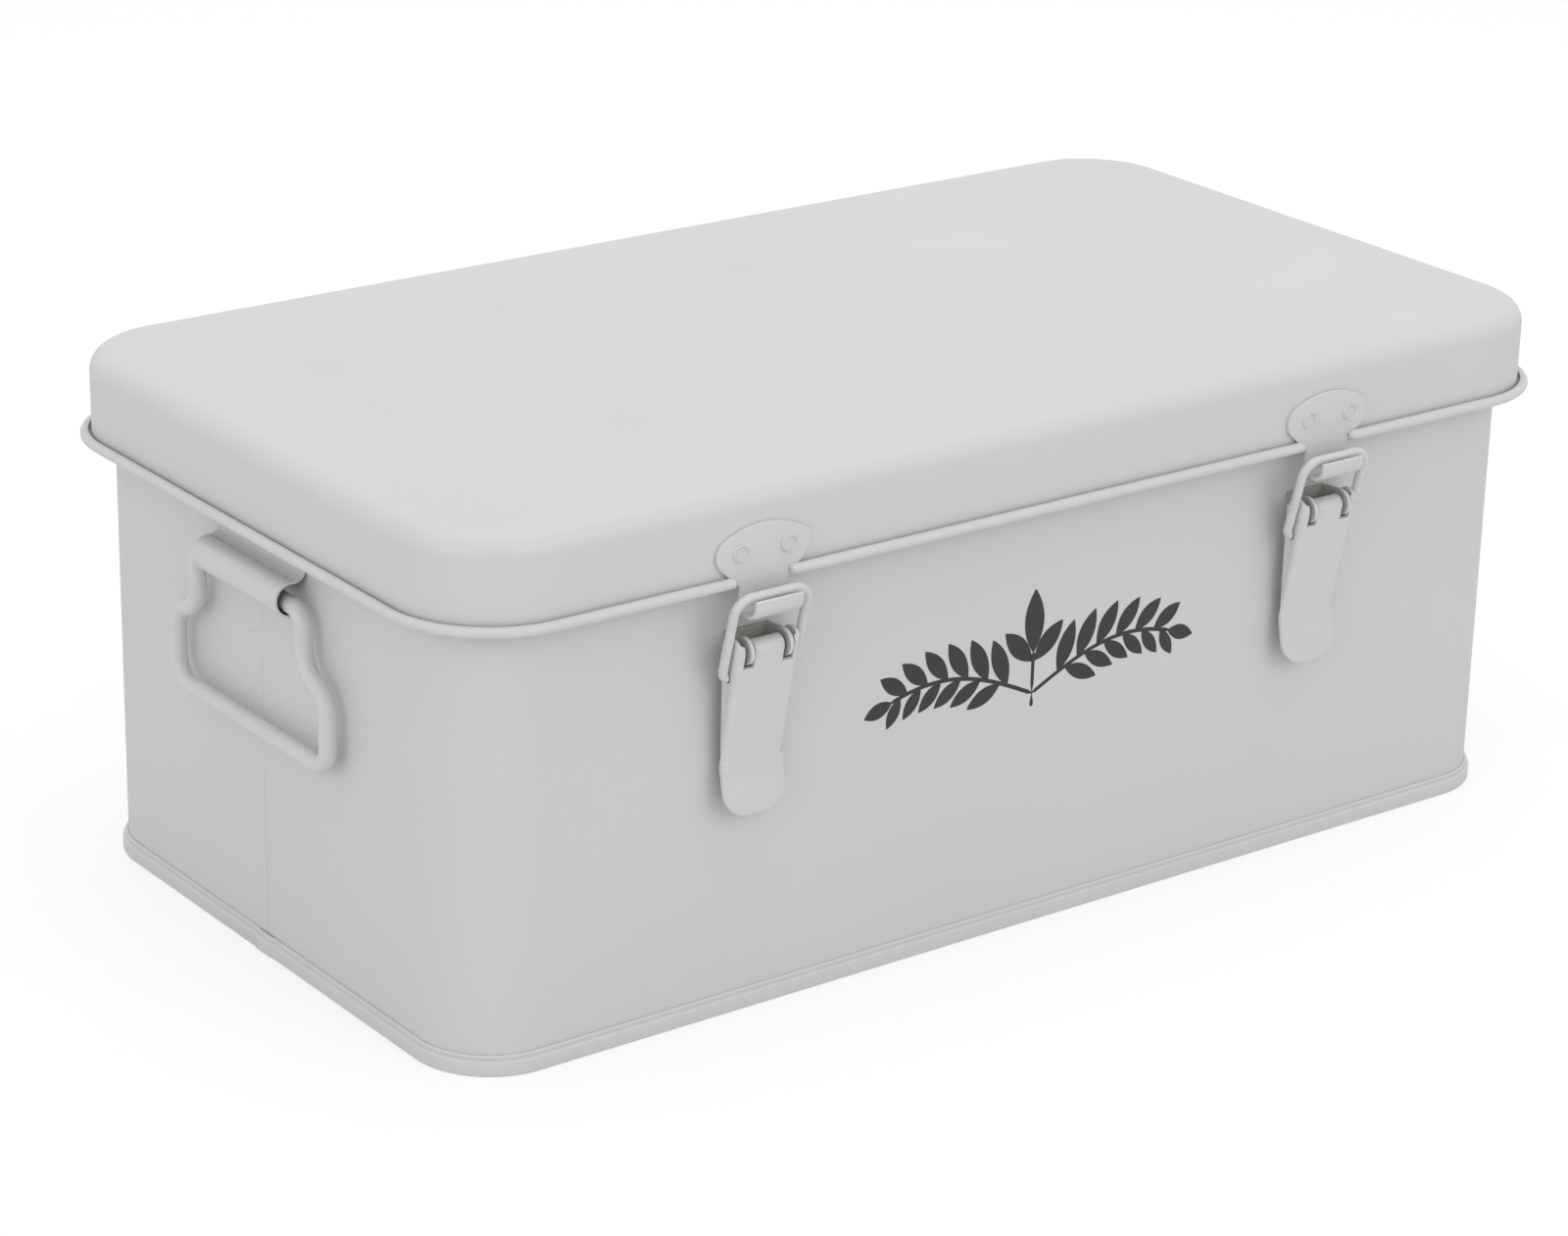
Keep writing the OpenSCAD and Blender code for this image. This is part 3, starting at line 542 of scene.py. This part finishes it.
def rod_tree():
    """A round rod along each line of the piece, with its open ends rounded off."""
    tree, given = tree_start("round_rod", {"Radius": "Float", "End Rounding": "Float",
                                           "Sides": "Int", "Material": "Material"})
    line = add_node(tree, "GeometryNodeMeshToCurve", {"Mesh": given["Geometry"]})
    along = add_node(tree, "GeometryNodeSplineParameter").outputs["Length"]
    whole = add_node(tree, "GeometryNodeSplineLength").outputs["Length"]
    to_end = reckon(tree, "MINIMUM", along, reckon(tree, "SUBTRACT", whole, along))
    rounding = reckon(tree, "MAXIMUM", given["End Rounding"], 1e-6)
    share = reckon(tree, "MINIMUM", reckon(tree, "DIVIDE", to_end, rounding), 1.0)
    left = reckon(tree, "SUBTRACT", 1.0, share)
    squared = reckon(tree, "SUBTRACT", 1.0, reckon(tree, "MULTIPLY", left, left))
    swell = reckon(tree, "SQRT", reckon(tree, "MAXIMUM", squared, 0.02))
    ring = add_node(tree, "GeometryNodeCurvePrimitiveCircle",
                    {"Resolution": given["Sides"], "Radius": given["Radius"]})
    rod = add_node(tree, "GeometryNodeCurveToMesh",
                   {"Curve": line.outputs["Curve"], "Profile Curve": ring.outputs["Curve"],
                    "Scale": swell, "Fill Caps": True})
    tree_end(tree, rod.outputs["Mesh"], given)
    return tree


def grow(name, points, edges, tree, settings, said=None):
    """Lays out points or lines, with what each point says, runs a tree on them and keeps the
    result as a plain mesh."""
    seed = bpy.data.meshes.new(name)
    seed.from_pydata([tuple(c * mm for c in p) for p in points], edges, [])
    for key, vectors in (said or {}).items():
        field = seed.attributes.new(key, "FLOAT_VECTOR", "POINT")
        for item, vector in zip(field.data, vectors):
            item.vector = vector
    piece = bpy.data.objects.new(name, seed)
    bpy.context.collection.objects.link(piece)
    step = piece.modifiers.new("grow", "NODES")
    step.node_group = tree
    for item in tree.interface.items_tree:
        if item.item_type == "SOCKET" and item.in_out == "INPUT" and item.name in settings:
            step[item.identifier] = settings[item.name]
    view = piece.evaluated_get(bpy.context.evaluated_depsgraph_get())
    plain = bpy.data.meshes.new_from_object(view)
    piece.modifiers.remove(step)
    piece.data = plain
    plain.name = name
    return piece


def outward(piece, sharp=40):
    """Merges the seams of a grown mesh and turns all its faces outwards."""
    made = bmesh.new()
    made.from_mesh(piece.data)
    bmesh.ops.remove_doubles(made, verts=made.verts, dist=1e-7)
    bmesh.ops.recalc_face_normals(made, faces=made.faces)
    made.to_mesh(piece.data)
    made.free()
    smooth(piece, sharp)
    return piece


def stem_place(share, side):
    """A point of a side stem at the share of its reach, and its direction of growth there."""
    x = stem_reach * share
    z = ornament_foot + stem_rise + stem_arch * math.sin(stem_sweep * share)
    climb = stem_arch * stem_sweep * math.cos(stem_sweep * share)
    slope = math.degrees(math.atan2(climb, stem_reach))
    return side * x, z, slope if side > 0 else 180 - slope


leaf_points, leaf_turns, leaf_sizes = [], [], []


def add_leaf(x, z, angle, length, width):
    leaf_points.append((x, ink_y, z))
    turn = (Matrix.Rotation(-math.radians(angle), 3, "Y")
            @ Matrix.Rotation(math.pi / 2, 3, "X"))
    leaf_turns.append(tuple(turn.to_euler()))
    leaf_sizes.append((length / 2 * mm, width / 2 * mm, 1))


def add_side_leaf(share, side, angle, length, width):
    """A leaf on a side stem. Its length and width are each given by what it has at the foot
    of the stem and by what it loses towards the tip."""
    x, z, grows = stem_place(share, side)
    add_leaf(x, z, grows + side * angle,
             length[0] - length[1] * share, width[0] - width[1] * share)


for side in (1, -1):
    for i in range(leaf_pairs):
        share = first_pair + pairs_run * i / (leaf_pairs - 1)
        add_side_leaf(share, side, *upper_leaf)
        add_side_leaf(share + lower_lag, side, *lower_leaf)
    add_side_leaf(tip_place, side, *tip_leaf)
for (x, rise, angle, length, width) in seedling_leaves:
    add_leaf(x, ornament_foot + rise, angle, length, width)
leaves = outward(grow("printed_leaves", leaf_points, [], leaf_tree(),
                      {"Thickness": ink_thickness * mm, "Sides": leaf_sides, "Material": ink},
                      {"turn": leaf_turns, "size": leaf_sizes}))
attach(leaves, "box")

round_rod = rod_tree()
stem_points = [(0, ink_y, ornament_foot + rise) for rise in seedling_rises]
stem_edges = list(seedling_edges)
for side in (1, -1):
    first = len(stem_points)
    stem_edges += [(0, first)] + [(first + i, first + i + 1) for i in range(stem_steps - 1)]
    places = [stem_place(i / stem_steps, side) for i in range(1, stem_steps + 1)]
    stem_points += [(x, ink_y, z) for (x, z, grows) in places]
stems = grow("printed_stems", stem_points, stem_edges, round_rod,
             {"Radius": stem_radius * mm, "End Rounding": stem_rounding * mm,
              "Sides": stem_sides, "Material": ink})
for corner in stems.data.vertices:
    corner.co.y = ink_y * mm + (corner.co.y - ink_y * mm) * stem_film / (2 * stem_radius)
outward(stems)
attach(stems, "box")


# Each latch plate is pressed from 1 mm steel: a rounded head riveted to the lid, a neck and
# a hook. Its edges are tumbled, so that they catch a thin line of light.
strike_thickness = 1.0
strike_rivet_reach = 6.5
strike_rivet_z = 113.2
rivet_height = 0.6
tail_height = 0.5
hole_reach = 1.35


def head_and_tail(foot, way, plate):
    """Middles of a rivet's head and tail, from the place where its axis goes through the outer
    face of a wall that carries the plate, and the way that the head faces."""
    head = tuple(c + w * (plate + rivet_height / 2) for c, w in zip(foot, way))
    tail = tuple(c - w * (sheet + tail_height / 2) for c, w in zip(foot, way))
    return head, tail, way


def dressed(node, name, body, material, eased_by, spots=()):
    """A copy of a pressed CAD node with merged seams, flat faces joined and its sharp edges
    eased. Its holes at the spots, which the rivets cover, are closed."""
    merging, flat, sharp, shaded_sharp = 2e-6, 0.6, 38, 34
    mesh = nodes[node].data.copy()
    mesh.name = name
    made = bmesh.new()
    made.from_mesh(mesh)
    bmesh.ops.remove_doubles(made, verts=made.verts, dist=merging)
    for (head, tail, way) in spots:
        axis = Vector(way)
        for corner in made.verts:
            across = corner.co - Vector(head) * mm
            across -= axis * across.dot(axis)
            if across.length < hole_reach * mm:
                corner.co -= across
    bmesh.ops.remove_doubles(made, verts=made.verts, dist=merging)
    bmesh.ops.dissolve_degenerate(made, dist=merging / 2, edges=made.edges)
    loose = [edge for edge in made.edges if not edge.link_faces]
    bmesh.ops.delete(made, geom=loose, context="EDGES")
    bmesh.ops.dissolve_limit(made, angle_limit=math.radians(flat), verts=made.verts,
                             edges=made.edges)
    made.to_mesh(mesh)
    made.free()
    mesh.materials.clear()
    mesh.materials.append(material)
    piece = bpy.data.objects.new(name, mesh)
    bpy.context.collection.objects.link(piece)
    ease = piece.modifiers.new("ease", "BEVEL")
    ease.width = eased_by * mm
    ease.segments = 2
    ease.limit_method = "ANGLE"
    ease.angle_limit = math.radians(sharp)
    ease.use_clamp_overlap = True
    view = piece.evaluated_get(bpy.context.evaluated_depsgraph_get())
    eased = bpy.data.meshes.new_from_object(view)
    piece.modifiers.remove(ease)
    piece.data = eased
    smooth(piece, shaded_sharp)
    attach(piece, body)
    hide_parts(node)
    return piece


front = (0, -1, 0)
strike_spots = [head_and_tail((s * latch_middle + p * strike_rivet_reach, -lid_width / 2,
                               strike_rivet_z), front, strike_thickness)
                for s in (-1, 1) for p in (-1, 1)]
hardware_coat = powder_coat("hardware_powder_coat", coat_tone, rough=0.36, peel=0.04)
for side in ("left", "right"):
    dressed(side + "_latch_strike", side + "_strike_plate", "lid", hardware_coat,
            eased_by=0.22, spots=strike_spots)


# The rivets are of soft steel, pressed so that each head is a low ring round a flat sunk
# middle. The inner wall of the ring's crease is painted dark: painted shade in the recess.
rivet_radius = 2.15
tail_radius = 1.9
crease_shade_band = (0.74, 0.83)
crease_shade_tone = (0.16, 0.155, 0.14)
head_profile = ((0.75, 0.72), (0.8125, 0.06), (0.875, 0.0), (0.9375, 0.25))
head_middle, head_edge = (0.0, 0.72), (1.0, 0.95)


def rivet_tree():
    """A head with a raised ring on each point, facing the way that the point says."""
    tree, given = tree_start("rivet_heads", {"Radius": "Float", "Height": "Float",
                                             "Material": "Material"})
    head = add_node(tree, "GeometryNodeMeshCylinder",
                    {"Vertices": 36, "Radius": given["Radius"], "Depth": given["Height"],
                     "Fill Segments": 16})
    place = add_node(tree, "GeometryNodeInputPosition").outputs[0]
    height = add_node(tree, "ShaderNodeSeparateXYZ", {0: place}).outputs["Z"]
    flat = add_node(tree, "ShaderNodeVectorMath", {0: place, 1: (1, 1, 0)},
                    operation="MULTIPLY")
    reach = add_node(tree, "ShaderNodeVectorMath", {0: flat.outputs[0]}, operation="LENGTH")
    share = reckon(tree, "DIVIDE", reach.outputs["Value"], given["Radius"])
    profile = add_node(tree, "ShaderNodeFloatCurve", {"Value": share})
    bends = profile.mapping.curves[0].points
    bends[0].location, bends[1].location = head_middle, head_edge
    for place_at in head_profile:
        bends.new(*place_at)
    for bend in bends:
        bend.handle_type = "VECTOR"
    profile.mapping.update()
    on_top = reckon(tree, "GREATER_THAN", height, 0.0001)
    sunk = reckon(tree, "MULTIPLY", profile.outputs["Value"], on_top)
    drop = reckon(tree, "MULTIPLY", sunk, given["Height"])
    offset = add_node(tree, "ShaderNodeCombineXYZ", {"Z": reckon(tree, "MULTIPLY", drop, -1.0)})
    ringed = add_node(tree, "GeometryNodeSetPosition",
                      {"Geometry": head.outputs["Mesh"], "Offset": offset.outputs[0]})
    turn = add_node(tree, "FunctionNodeAlignRotationToVector",
                    {"Vector": said_by_point(tree, "way")}, axis="Z")
    tree_end(tree, on_each_point(tree, given, ringed, turn), given)
    return tree


def bare_steel(name, tone, rough):
    """Steel with a fine grain in its colour, gloss and surface."""
    made, tree, shader, place = new_finish(name)
    grain = add_node(tree, "ShaderNodeTexNoise",
                     {"Vector": place, "Scale": 800, "Detail": 5}).outputs["Fac"]
    dull = add_node(tree, "ShaderNodeMapRange",
                    {"Value": grain, "To Min": rough - 0.08, "To Max": rough + 0.12})
    bump = add_node(tree, "ShaderNodeBump",
                    {"Strength": 0.1, "Distance": 0.0001, "Height": grain})
    feed(tree, shader, {
        "Metallic": 1.0,
        "Base Color": blend(tree, grain, tint(tone, 0.75), tint(tone)),
        "Roughness": dull.outputs["Result"],
        "Normal": bump.outputs["Normal"]})
    return made


rivet_heads = rivet_tree()
crease_shade_steel = bare_steel("crease_painted_shade", crease_shade_tone, rough=0.6)


def rivets(name, node, body, material, spots):
    """The heads and the tails of a group of rivets, the heads with painted shade in their crease.
    """
    points = [head for (head, tail, way) in spots]
    ways = [way for (head, tail, way) in spots]
    heads = outward(grow(name + "_heads", points, [], rivet_heads,
                         {"Radius": rivet_radius * mm, "Height": rivet_height * mm,
                          "Material": material}, {"way": ways}), sharp=50)
    # The faces in each head's crease get the dark steel finish: painted shade.
    heads.data.materials.append(crease_shade_steel)
    for face in heads.data.polygons:
        away = min((face.center / mm - Vector(p)).cross(Vector(w)).length
                   for p, w in zip(points, ways))
        if crease_shade_band[0] < away / rivet_radius < crease_shade_band[1]:
            face.material_index = 1
    tails = outward(grow(name + "_tails", [tail for (head, tail, way) in spots], [], rivet_heads,
                         {"Radius": tail_radius * mm, "Height": tail_height * mm,
                          "Material": material},
                         {"way": [tuple(-c for c in way) for way in ways]}), sharp=50)
    for piece in (heads, tails):
        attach(piece, body)
    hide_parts(node)


rivets("strike_rivet", "strike_rivets", "lid", hardware_coat, strike_spots)


# Behind each lever a latch base of 0.9 mm steel is riveted to the wall. Its two round ears
# hold the steel pin on which the lever turns, and show in the lever's slots.
base_thickness = 0.9
base_rivet_heights = (81.0, 73.0)
base_shade_tone = (0.42, 0.42, 0.385)
ear_radius = 3.2
ear_edge_band = 0.25
ear_side_facing = 0.8
pin_y, pin_z = -89.6, 90.6
lever_pin_half = 7.25
lever_pin_radius = 1.3
pin_rounding = 0.5
pin_end_steps = (0, 0.1, 0.3, 0.6)
steel_tone = (0.62, 0.60, 0.56)

# The latch base's dark tone is painted shade for the hollow behind the lever; the rims of its ears
# keep the pale coat.
base_shade_coat = powder_coat("base_painted_shade", base_shade_tone, rough=0.45)
base_spots = [head_and_tail((s * latch_middle, -body_width / 2, z), front, base_thickness)
              for s in (-1, 1) for z in base_rivet_heights]
for side in ("left", "right"):
    ears = dressed(side + "_latch_base", side + "_latch_ears", "box", base_shade_coat,
                   eased_by=0.12, spots=base_spots)
    ears.data.materials.append(hardware_coat)
    for face in ears.data.polygons:
        from_pin = math.hypot(face.center.y / mm - pin_y, face.center.z / mm - pin_z)
        on_edge = abs(from_pin - ear_radius) < ear_edge_band
        if on_edge and abs(face.normal.x) < ear_side_facing:
            face.material_index = 1

steel = bare_steel("zinc_steel", steel_tone, rough=0.38)


def bent_rod(name, points, radius, material, rounding=0.0, sides=24, closed=False):
    """A round rod or wire through the points."""
    edges = [(i, i + 1) for i in range(len(points) - 1)]
    if closed:
        edges.append((len(points) - 1, 0))
    return outward(grow(name, points, edges, round_rod,
                        {"Radius": radius * mm, "End Rounding": rounding * mm,
                         "Sides": sides, "Material": material}))


def pin_between(name, node, middle, half, y, z, radius):
    """A straight steel pin along X with softly rounded ends."""
    length = 2 * half
    near_end = [step / length for step in pin_end_steps]
    along = near_end + [1 - share for share in reversed(near_end)]
    points = [(middle - half + length * t, y, z) for t in along]
    pin = bent_rod(name, points, radius, steel, rounding=pin_rounding)
    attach(pin, "box")
    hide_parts(node)


for side, sign in (("left", -1), ("right", 1)):
    pin_between(side + "_lever_pin", side + "_latch_pin", sign * latch_middle, lever_pin_half,
                pin_y, pin_z, lever_pin_radius)
rivets("base_rivet", "latch_base_rivets", "box", steel, base_spots)


# The lever is folded from 0.9 mm steel: a channel whose centre tongue curls over the pin,
# and a rounded tip bent outwards for the finger. Its back, facing the wall, is painted darker as
# shade.
lever_back_shade_tone = (0.42, 0.42, 0.39)
lever_back_shade_coat = powder_coat("lever_back_painted_shade", lever_back_shade_tone, rough=0.5)


def paint_shade_on_back(piece, material, way, least):
    """Gives the faces of a piece that look the given way another material, which paints shade on
    them.
    """
    piece.data.materials.append(material)
    for face in piece.data.polygons:
        if face.normal.dot(Vector(way)) > least:
            face.material_index = len(piece.data.materials) - 1


for side in ("left", "right"):
    lever = dressed(side + "_latch_lever", side + "_lever", side + "_lever", hardware_coat,
                    eased_by=0.16)
    # The lever's faces that look at the wall are painted darker: painted shade.
    paint_shade_on_back(lever, lever_back_shade_coat, way=(0, 1, 0), least=0.5)


# The bail is a loop of 2.2 mm wire, bent round and left open behind the lever. Its ends turn
# into holes in the lever's sides, where the coat is rubbed through to the brassy plating.
bail_radius = 1.1
bail_arm = 9.9
bail_low = (-87.5, 84.2)
bail_high = (-92.6, 104.0)
bail_corner = 4.0
bail_elbow = 2.0
bail_end = 7.0
bail_end_step = 0.3
bail_stops = (7.0, 12.0)
brass_tone = (0.74, 0.58, 0.36)
worn_half = 8.9
worn_below = 85.6
worn_ragged = 1.2
worn_shine = 0.9


def rubbed_coat(name, tone, bare_tone, middle, half, height):
    """Powder coat that is worn through within half of the middle along X and below the height."""
    made = powder_coat(name, tone, rough=0.36, peel=0.04)
    tree = made.node_tree
    shader = tree.nodes["Principled BSDF"]
    was = shader.inputs["Base Color"].links[0].from_socket
    place = add_node(tree, "ShaderNodeTexCoord").outputs["Object"]
    parts = add_node(tree, "ShaderNodeSeparateXYZ", {0: place}).outputs
    noise = add_node(tree, "ShaderNodeTexNoise", {"Vector": place, "Scale": 900}).outputs["Fac"]
    ragged = reckon(tree, "MULTIPLY", reckon(tree, "SUBTRACT", noise, 0.5),
                    worn_ragged * mm)
    offset = reckon(tree, "ABSOLUTE", reckon(tree, "SUBTRACT", parts["X"], middle * mm))
    near = reckon(tree, "LESS_THAN", reckon(tree, "ADD", offset, ragged), half * mm)
    low = reckon(tree, "LESS_THAN", reckon(tree, "ADD", parts["Z"], ragged), height * mm)
    worn = reckon(tree, "MULTIPLY", near, low)
    feed(tree, shader, {"Base Color": blend(tree, worn, was, tint(bare_tone)),
                        "Metallic": reckon(tree, "MULTIPLY", worn, worn_shine)})
    return made


bail_length = math.dist(bail_low, bail_high)
bail_half = ([(bail_end, 0), (bail_end + bail_end_step, 0)]
             + arc(bail_arm - bail_elbow, bail_elbow, bail_elbow, -90, 0, 8)
             + [(bail_arm, stop) for stop in bail_stops]
             + arc(bail_arm - bail_corner, bail_length - bail_corner, bail_corner, 0, 90, 12))
bail_line = bail_half + [(-u, v) for (u, v) in reversed(bail_half)]
lean_y, lean_z = [(high - low) / bail_length for low, high in zip(bail_low, bail_high)]
for side, sign in (("left", -1), ("right", 1)):
    middle = sign * latch_middle
    points = [(middle + u, bail_low[0] + lean_y * v, bail_low[1] + lean_z * v)
              for (u, v) in bail_line]
    wire_coat = rubbed_coat(side + "_bail_coat", coat_tone, brass_tone, middle, worn_half,
                            worn_below)
    bail = bent_rod(side + "_wire_bail", points, bail_radius, wire_coat, rounding=0.2)
    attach(bail, side + "_bail")
    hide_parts(side + "_latch_bail")


# Each end handle hangs in a bracket of 0.6 mm steel: a plate riveted to the end wall under
# the lid's rim, swept out and curled round the rod. Its back towards the wall and the inside of its
# curl are painted dark as shade.
bracket_thickness = 0.6
bracket_rivet_reach = 12.0
bracket_rivet_z = 108.7
curl_x, curl_z = 160.65, 94.9
curl_inner = 3.6
curl_inside = curl_inner + 0.12
curl_outside = curl_inner + 0.3
cut_end_facing = 0.5
shade_tone = (0.10, 0.095, 0.09)

bracket_spots = [head_and_tail((s * body_length / 2, p * bracket_rivet_reach, bracket_rivet_z),
                               (s, 0, 0), bracket_thickness)
                 for s in (-1, 1) for p in (-1, 1)]
shade_steel = bare_steel("dull_shaded_steel", shade_tone, rough=0.62)
for side, sign in (("left", -1), ("right", 1)):
    bracket = dressed(side + "_handle_bracket", side + "_curled_bracket", "box", hardware_coat,
                      eased_by=0.12, spots=bracket_spots)
    # The back towards the wall and the inside of the curl get the near-black steel, painted shade;
    # the outside of the curl below its axis keeps the coat.
    paint_shade_on_back(bracket, shade_steel, way=(-sign, 0, 0), least=0.12)
    for face in bracket.data.polygons:
        if abs(face.normal.y) > cut_end_facing:
            continue
        z = face.center.z / mm
        from_axis = math.hypot(abs(face.center.x) / mm - curl_x, z - curl_z)
        if from_axis > curl_outside and z < curl_z:
            face.material_index = 0
        elif from_axis < curl_inside:
            face.material_index = 1
rivets("bracket_rivet", "handle_bracket_rivets", "box", hardware_coat, bracket_spots)


# The handle is one 4.2 mm rod bent into a closed loop, narrow in the bracket and flared to a
# wide grip. It is coated like the box, and the coat is chipped in a few places.
rod_radius = 2.1
handle_x = 160.65
handle_z = 93.7
handle_top = 23.5
handle_grip = 33.3
handle_drop = 34.6
handle_elbow = 4.0
handle_corner = 5.5
handle_arm = 8.8
flare_bend = 7.0
flare_turn = math.degrees(math.acos(1 - (handle_grip - handle_top) / (2 * flare_bend)))
flare_end = handle_arm + 2 * flare_bend * math.sin(math.radians(flare_turn))
top_stops = (0, 8, 16)
grip_stops = (18, 9, 0)
rod_chips = {"left": [((-162.7, -24.2, 82.3), 0.32), ((-162.7, -25.0, 78.8), 0.3)],
             "right": [((162.7, 24.4, 81.0), 0.3)]}

half_loop = (
    [(stop, 0) for stop in top_stops]
    + arc(handle_top - handle_elbow, -handle_elbow, handle_elbow, 90, 0, 10)
    + arc(handle_top + flare_bend, -handle_arm, flare_bend, 180, 180 + flare_turn, 12)
    + arc(handle_grip - flare_bend, -flare_end, flare_bend, flare_turn, 0, 12)[1:]
    + arc(handle_grip - handle_corner, handle_corner - handle_drop, handle_corner, 0, -90, 12)
    + [(stop, -handle_drop) for stop in grip_stops])
loop = half_loop + [(-u, v) for (u, v) in reversed(half_loop[1:-1])]
for side, sign in (("left", -1), ("right", 1)):
    rod_coat = powder_coat(side + "_handle_coat", coat_tone, rough=0.36, peel=0.04,
                           chips=rod_chips[side])
    points = [(sign * handle_x, u, handle_z + v) for (u, v) in loop]
    handle = bent_rod(side + "_drop_handle", points, rod_radius, rod_coat, sides=32,
                      closed=True)
    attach(handle, side + "_handle")
    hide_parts(side + "_end_handle")


# Two plain hinges join the lid to the rear wall: coated leaves of 1 mm steel, riveted on and
# rolled round a bare 3 mm steel pin.
hinge_middle = 90.0
leaf_thickness = 1.0
leaf_rivet_reach = 9.0
box_leaf_rivet_z = 85.8
lid_leaf_rivet_z = 116.3
hinge_pin_half = 17.2
hinge_pin_y, hinge_pin_z = 89.5, 102.8
hinge_pin_radius = 1.5
rear = (0, 1, 0)


def leaf_spots(y, z):
    return [head_and_tail((s * hinge_middle + p * leaf_rivet_reach, y, z), rear, leaf_thickness)
            for s in (-1, 1) for p in (-1, 1)]


box_spots = leaf_spots(body_width / 2, box_leaf_rivet_z)
lid_spots = leaf_spots(lid_width / 2, lid_leaf_rivet_z)
for side in ("left", "right"):
    dressed(side + "_hinge_box_leaf", side + "_box_leaf", "box", hardware_coat,
            eased_by=0.14, spots=box_spots)
    dressed(side + "_hinge_lid_leaf", side + "_lid_leaf", "lid", hardware_coat,
            eased_by=0.14, spots=lid_spots)
for side, sign in (("left", -1), ("right", 1)):
    pin_between(side + "_pin_of_hinge", side + "_hinge_pin", sign * hinge_middle, hinge_pin_half,
                hinge_pin_y, hinge_pin_z, hinge_pin_radius)
rivets("hinge_box_rivet", "hinge_box_rivets", "box", hardware_coat, box_spots)
rivets("hinge_lid_rivet", "hinge_lid_rivets", "lid", hardware_coat, lid_spots)


# The partition and the three cross dividers are thin coated sheet with hemmed top edges,
# pushed together by half-lap slots. The CAD pieces stay and get the inside coat.
inner_coat = powder_coat("inner_powder_coat", [c * 0.96 for c in coat_tone], rough=0.45)
for node in ("lengthwise_partition", "cross_divider_1", "cross_divider_2", "cross_divider_3"):
    for held in nodes[node].material_slots:
        held.material = inner_coat
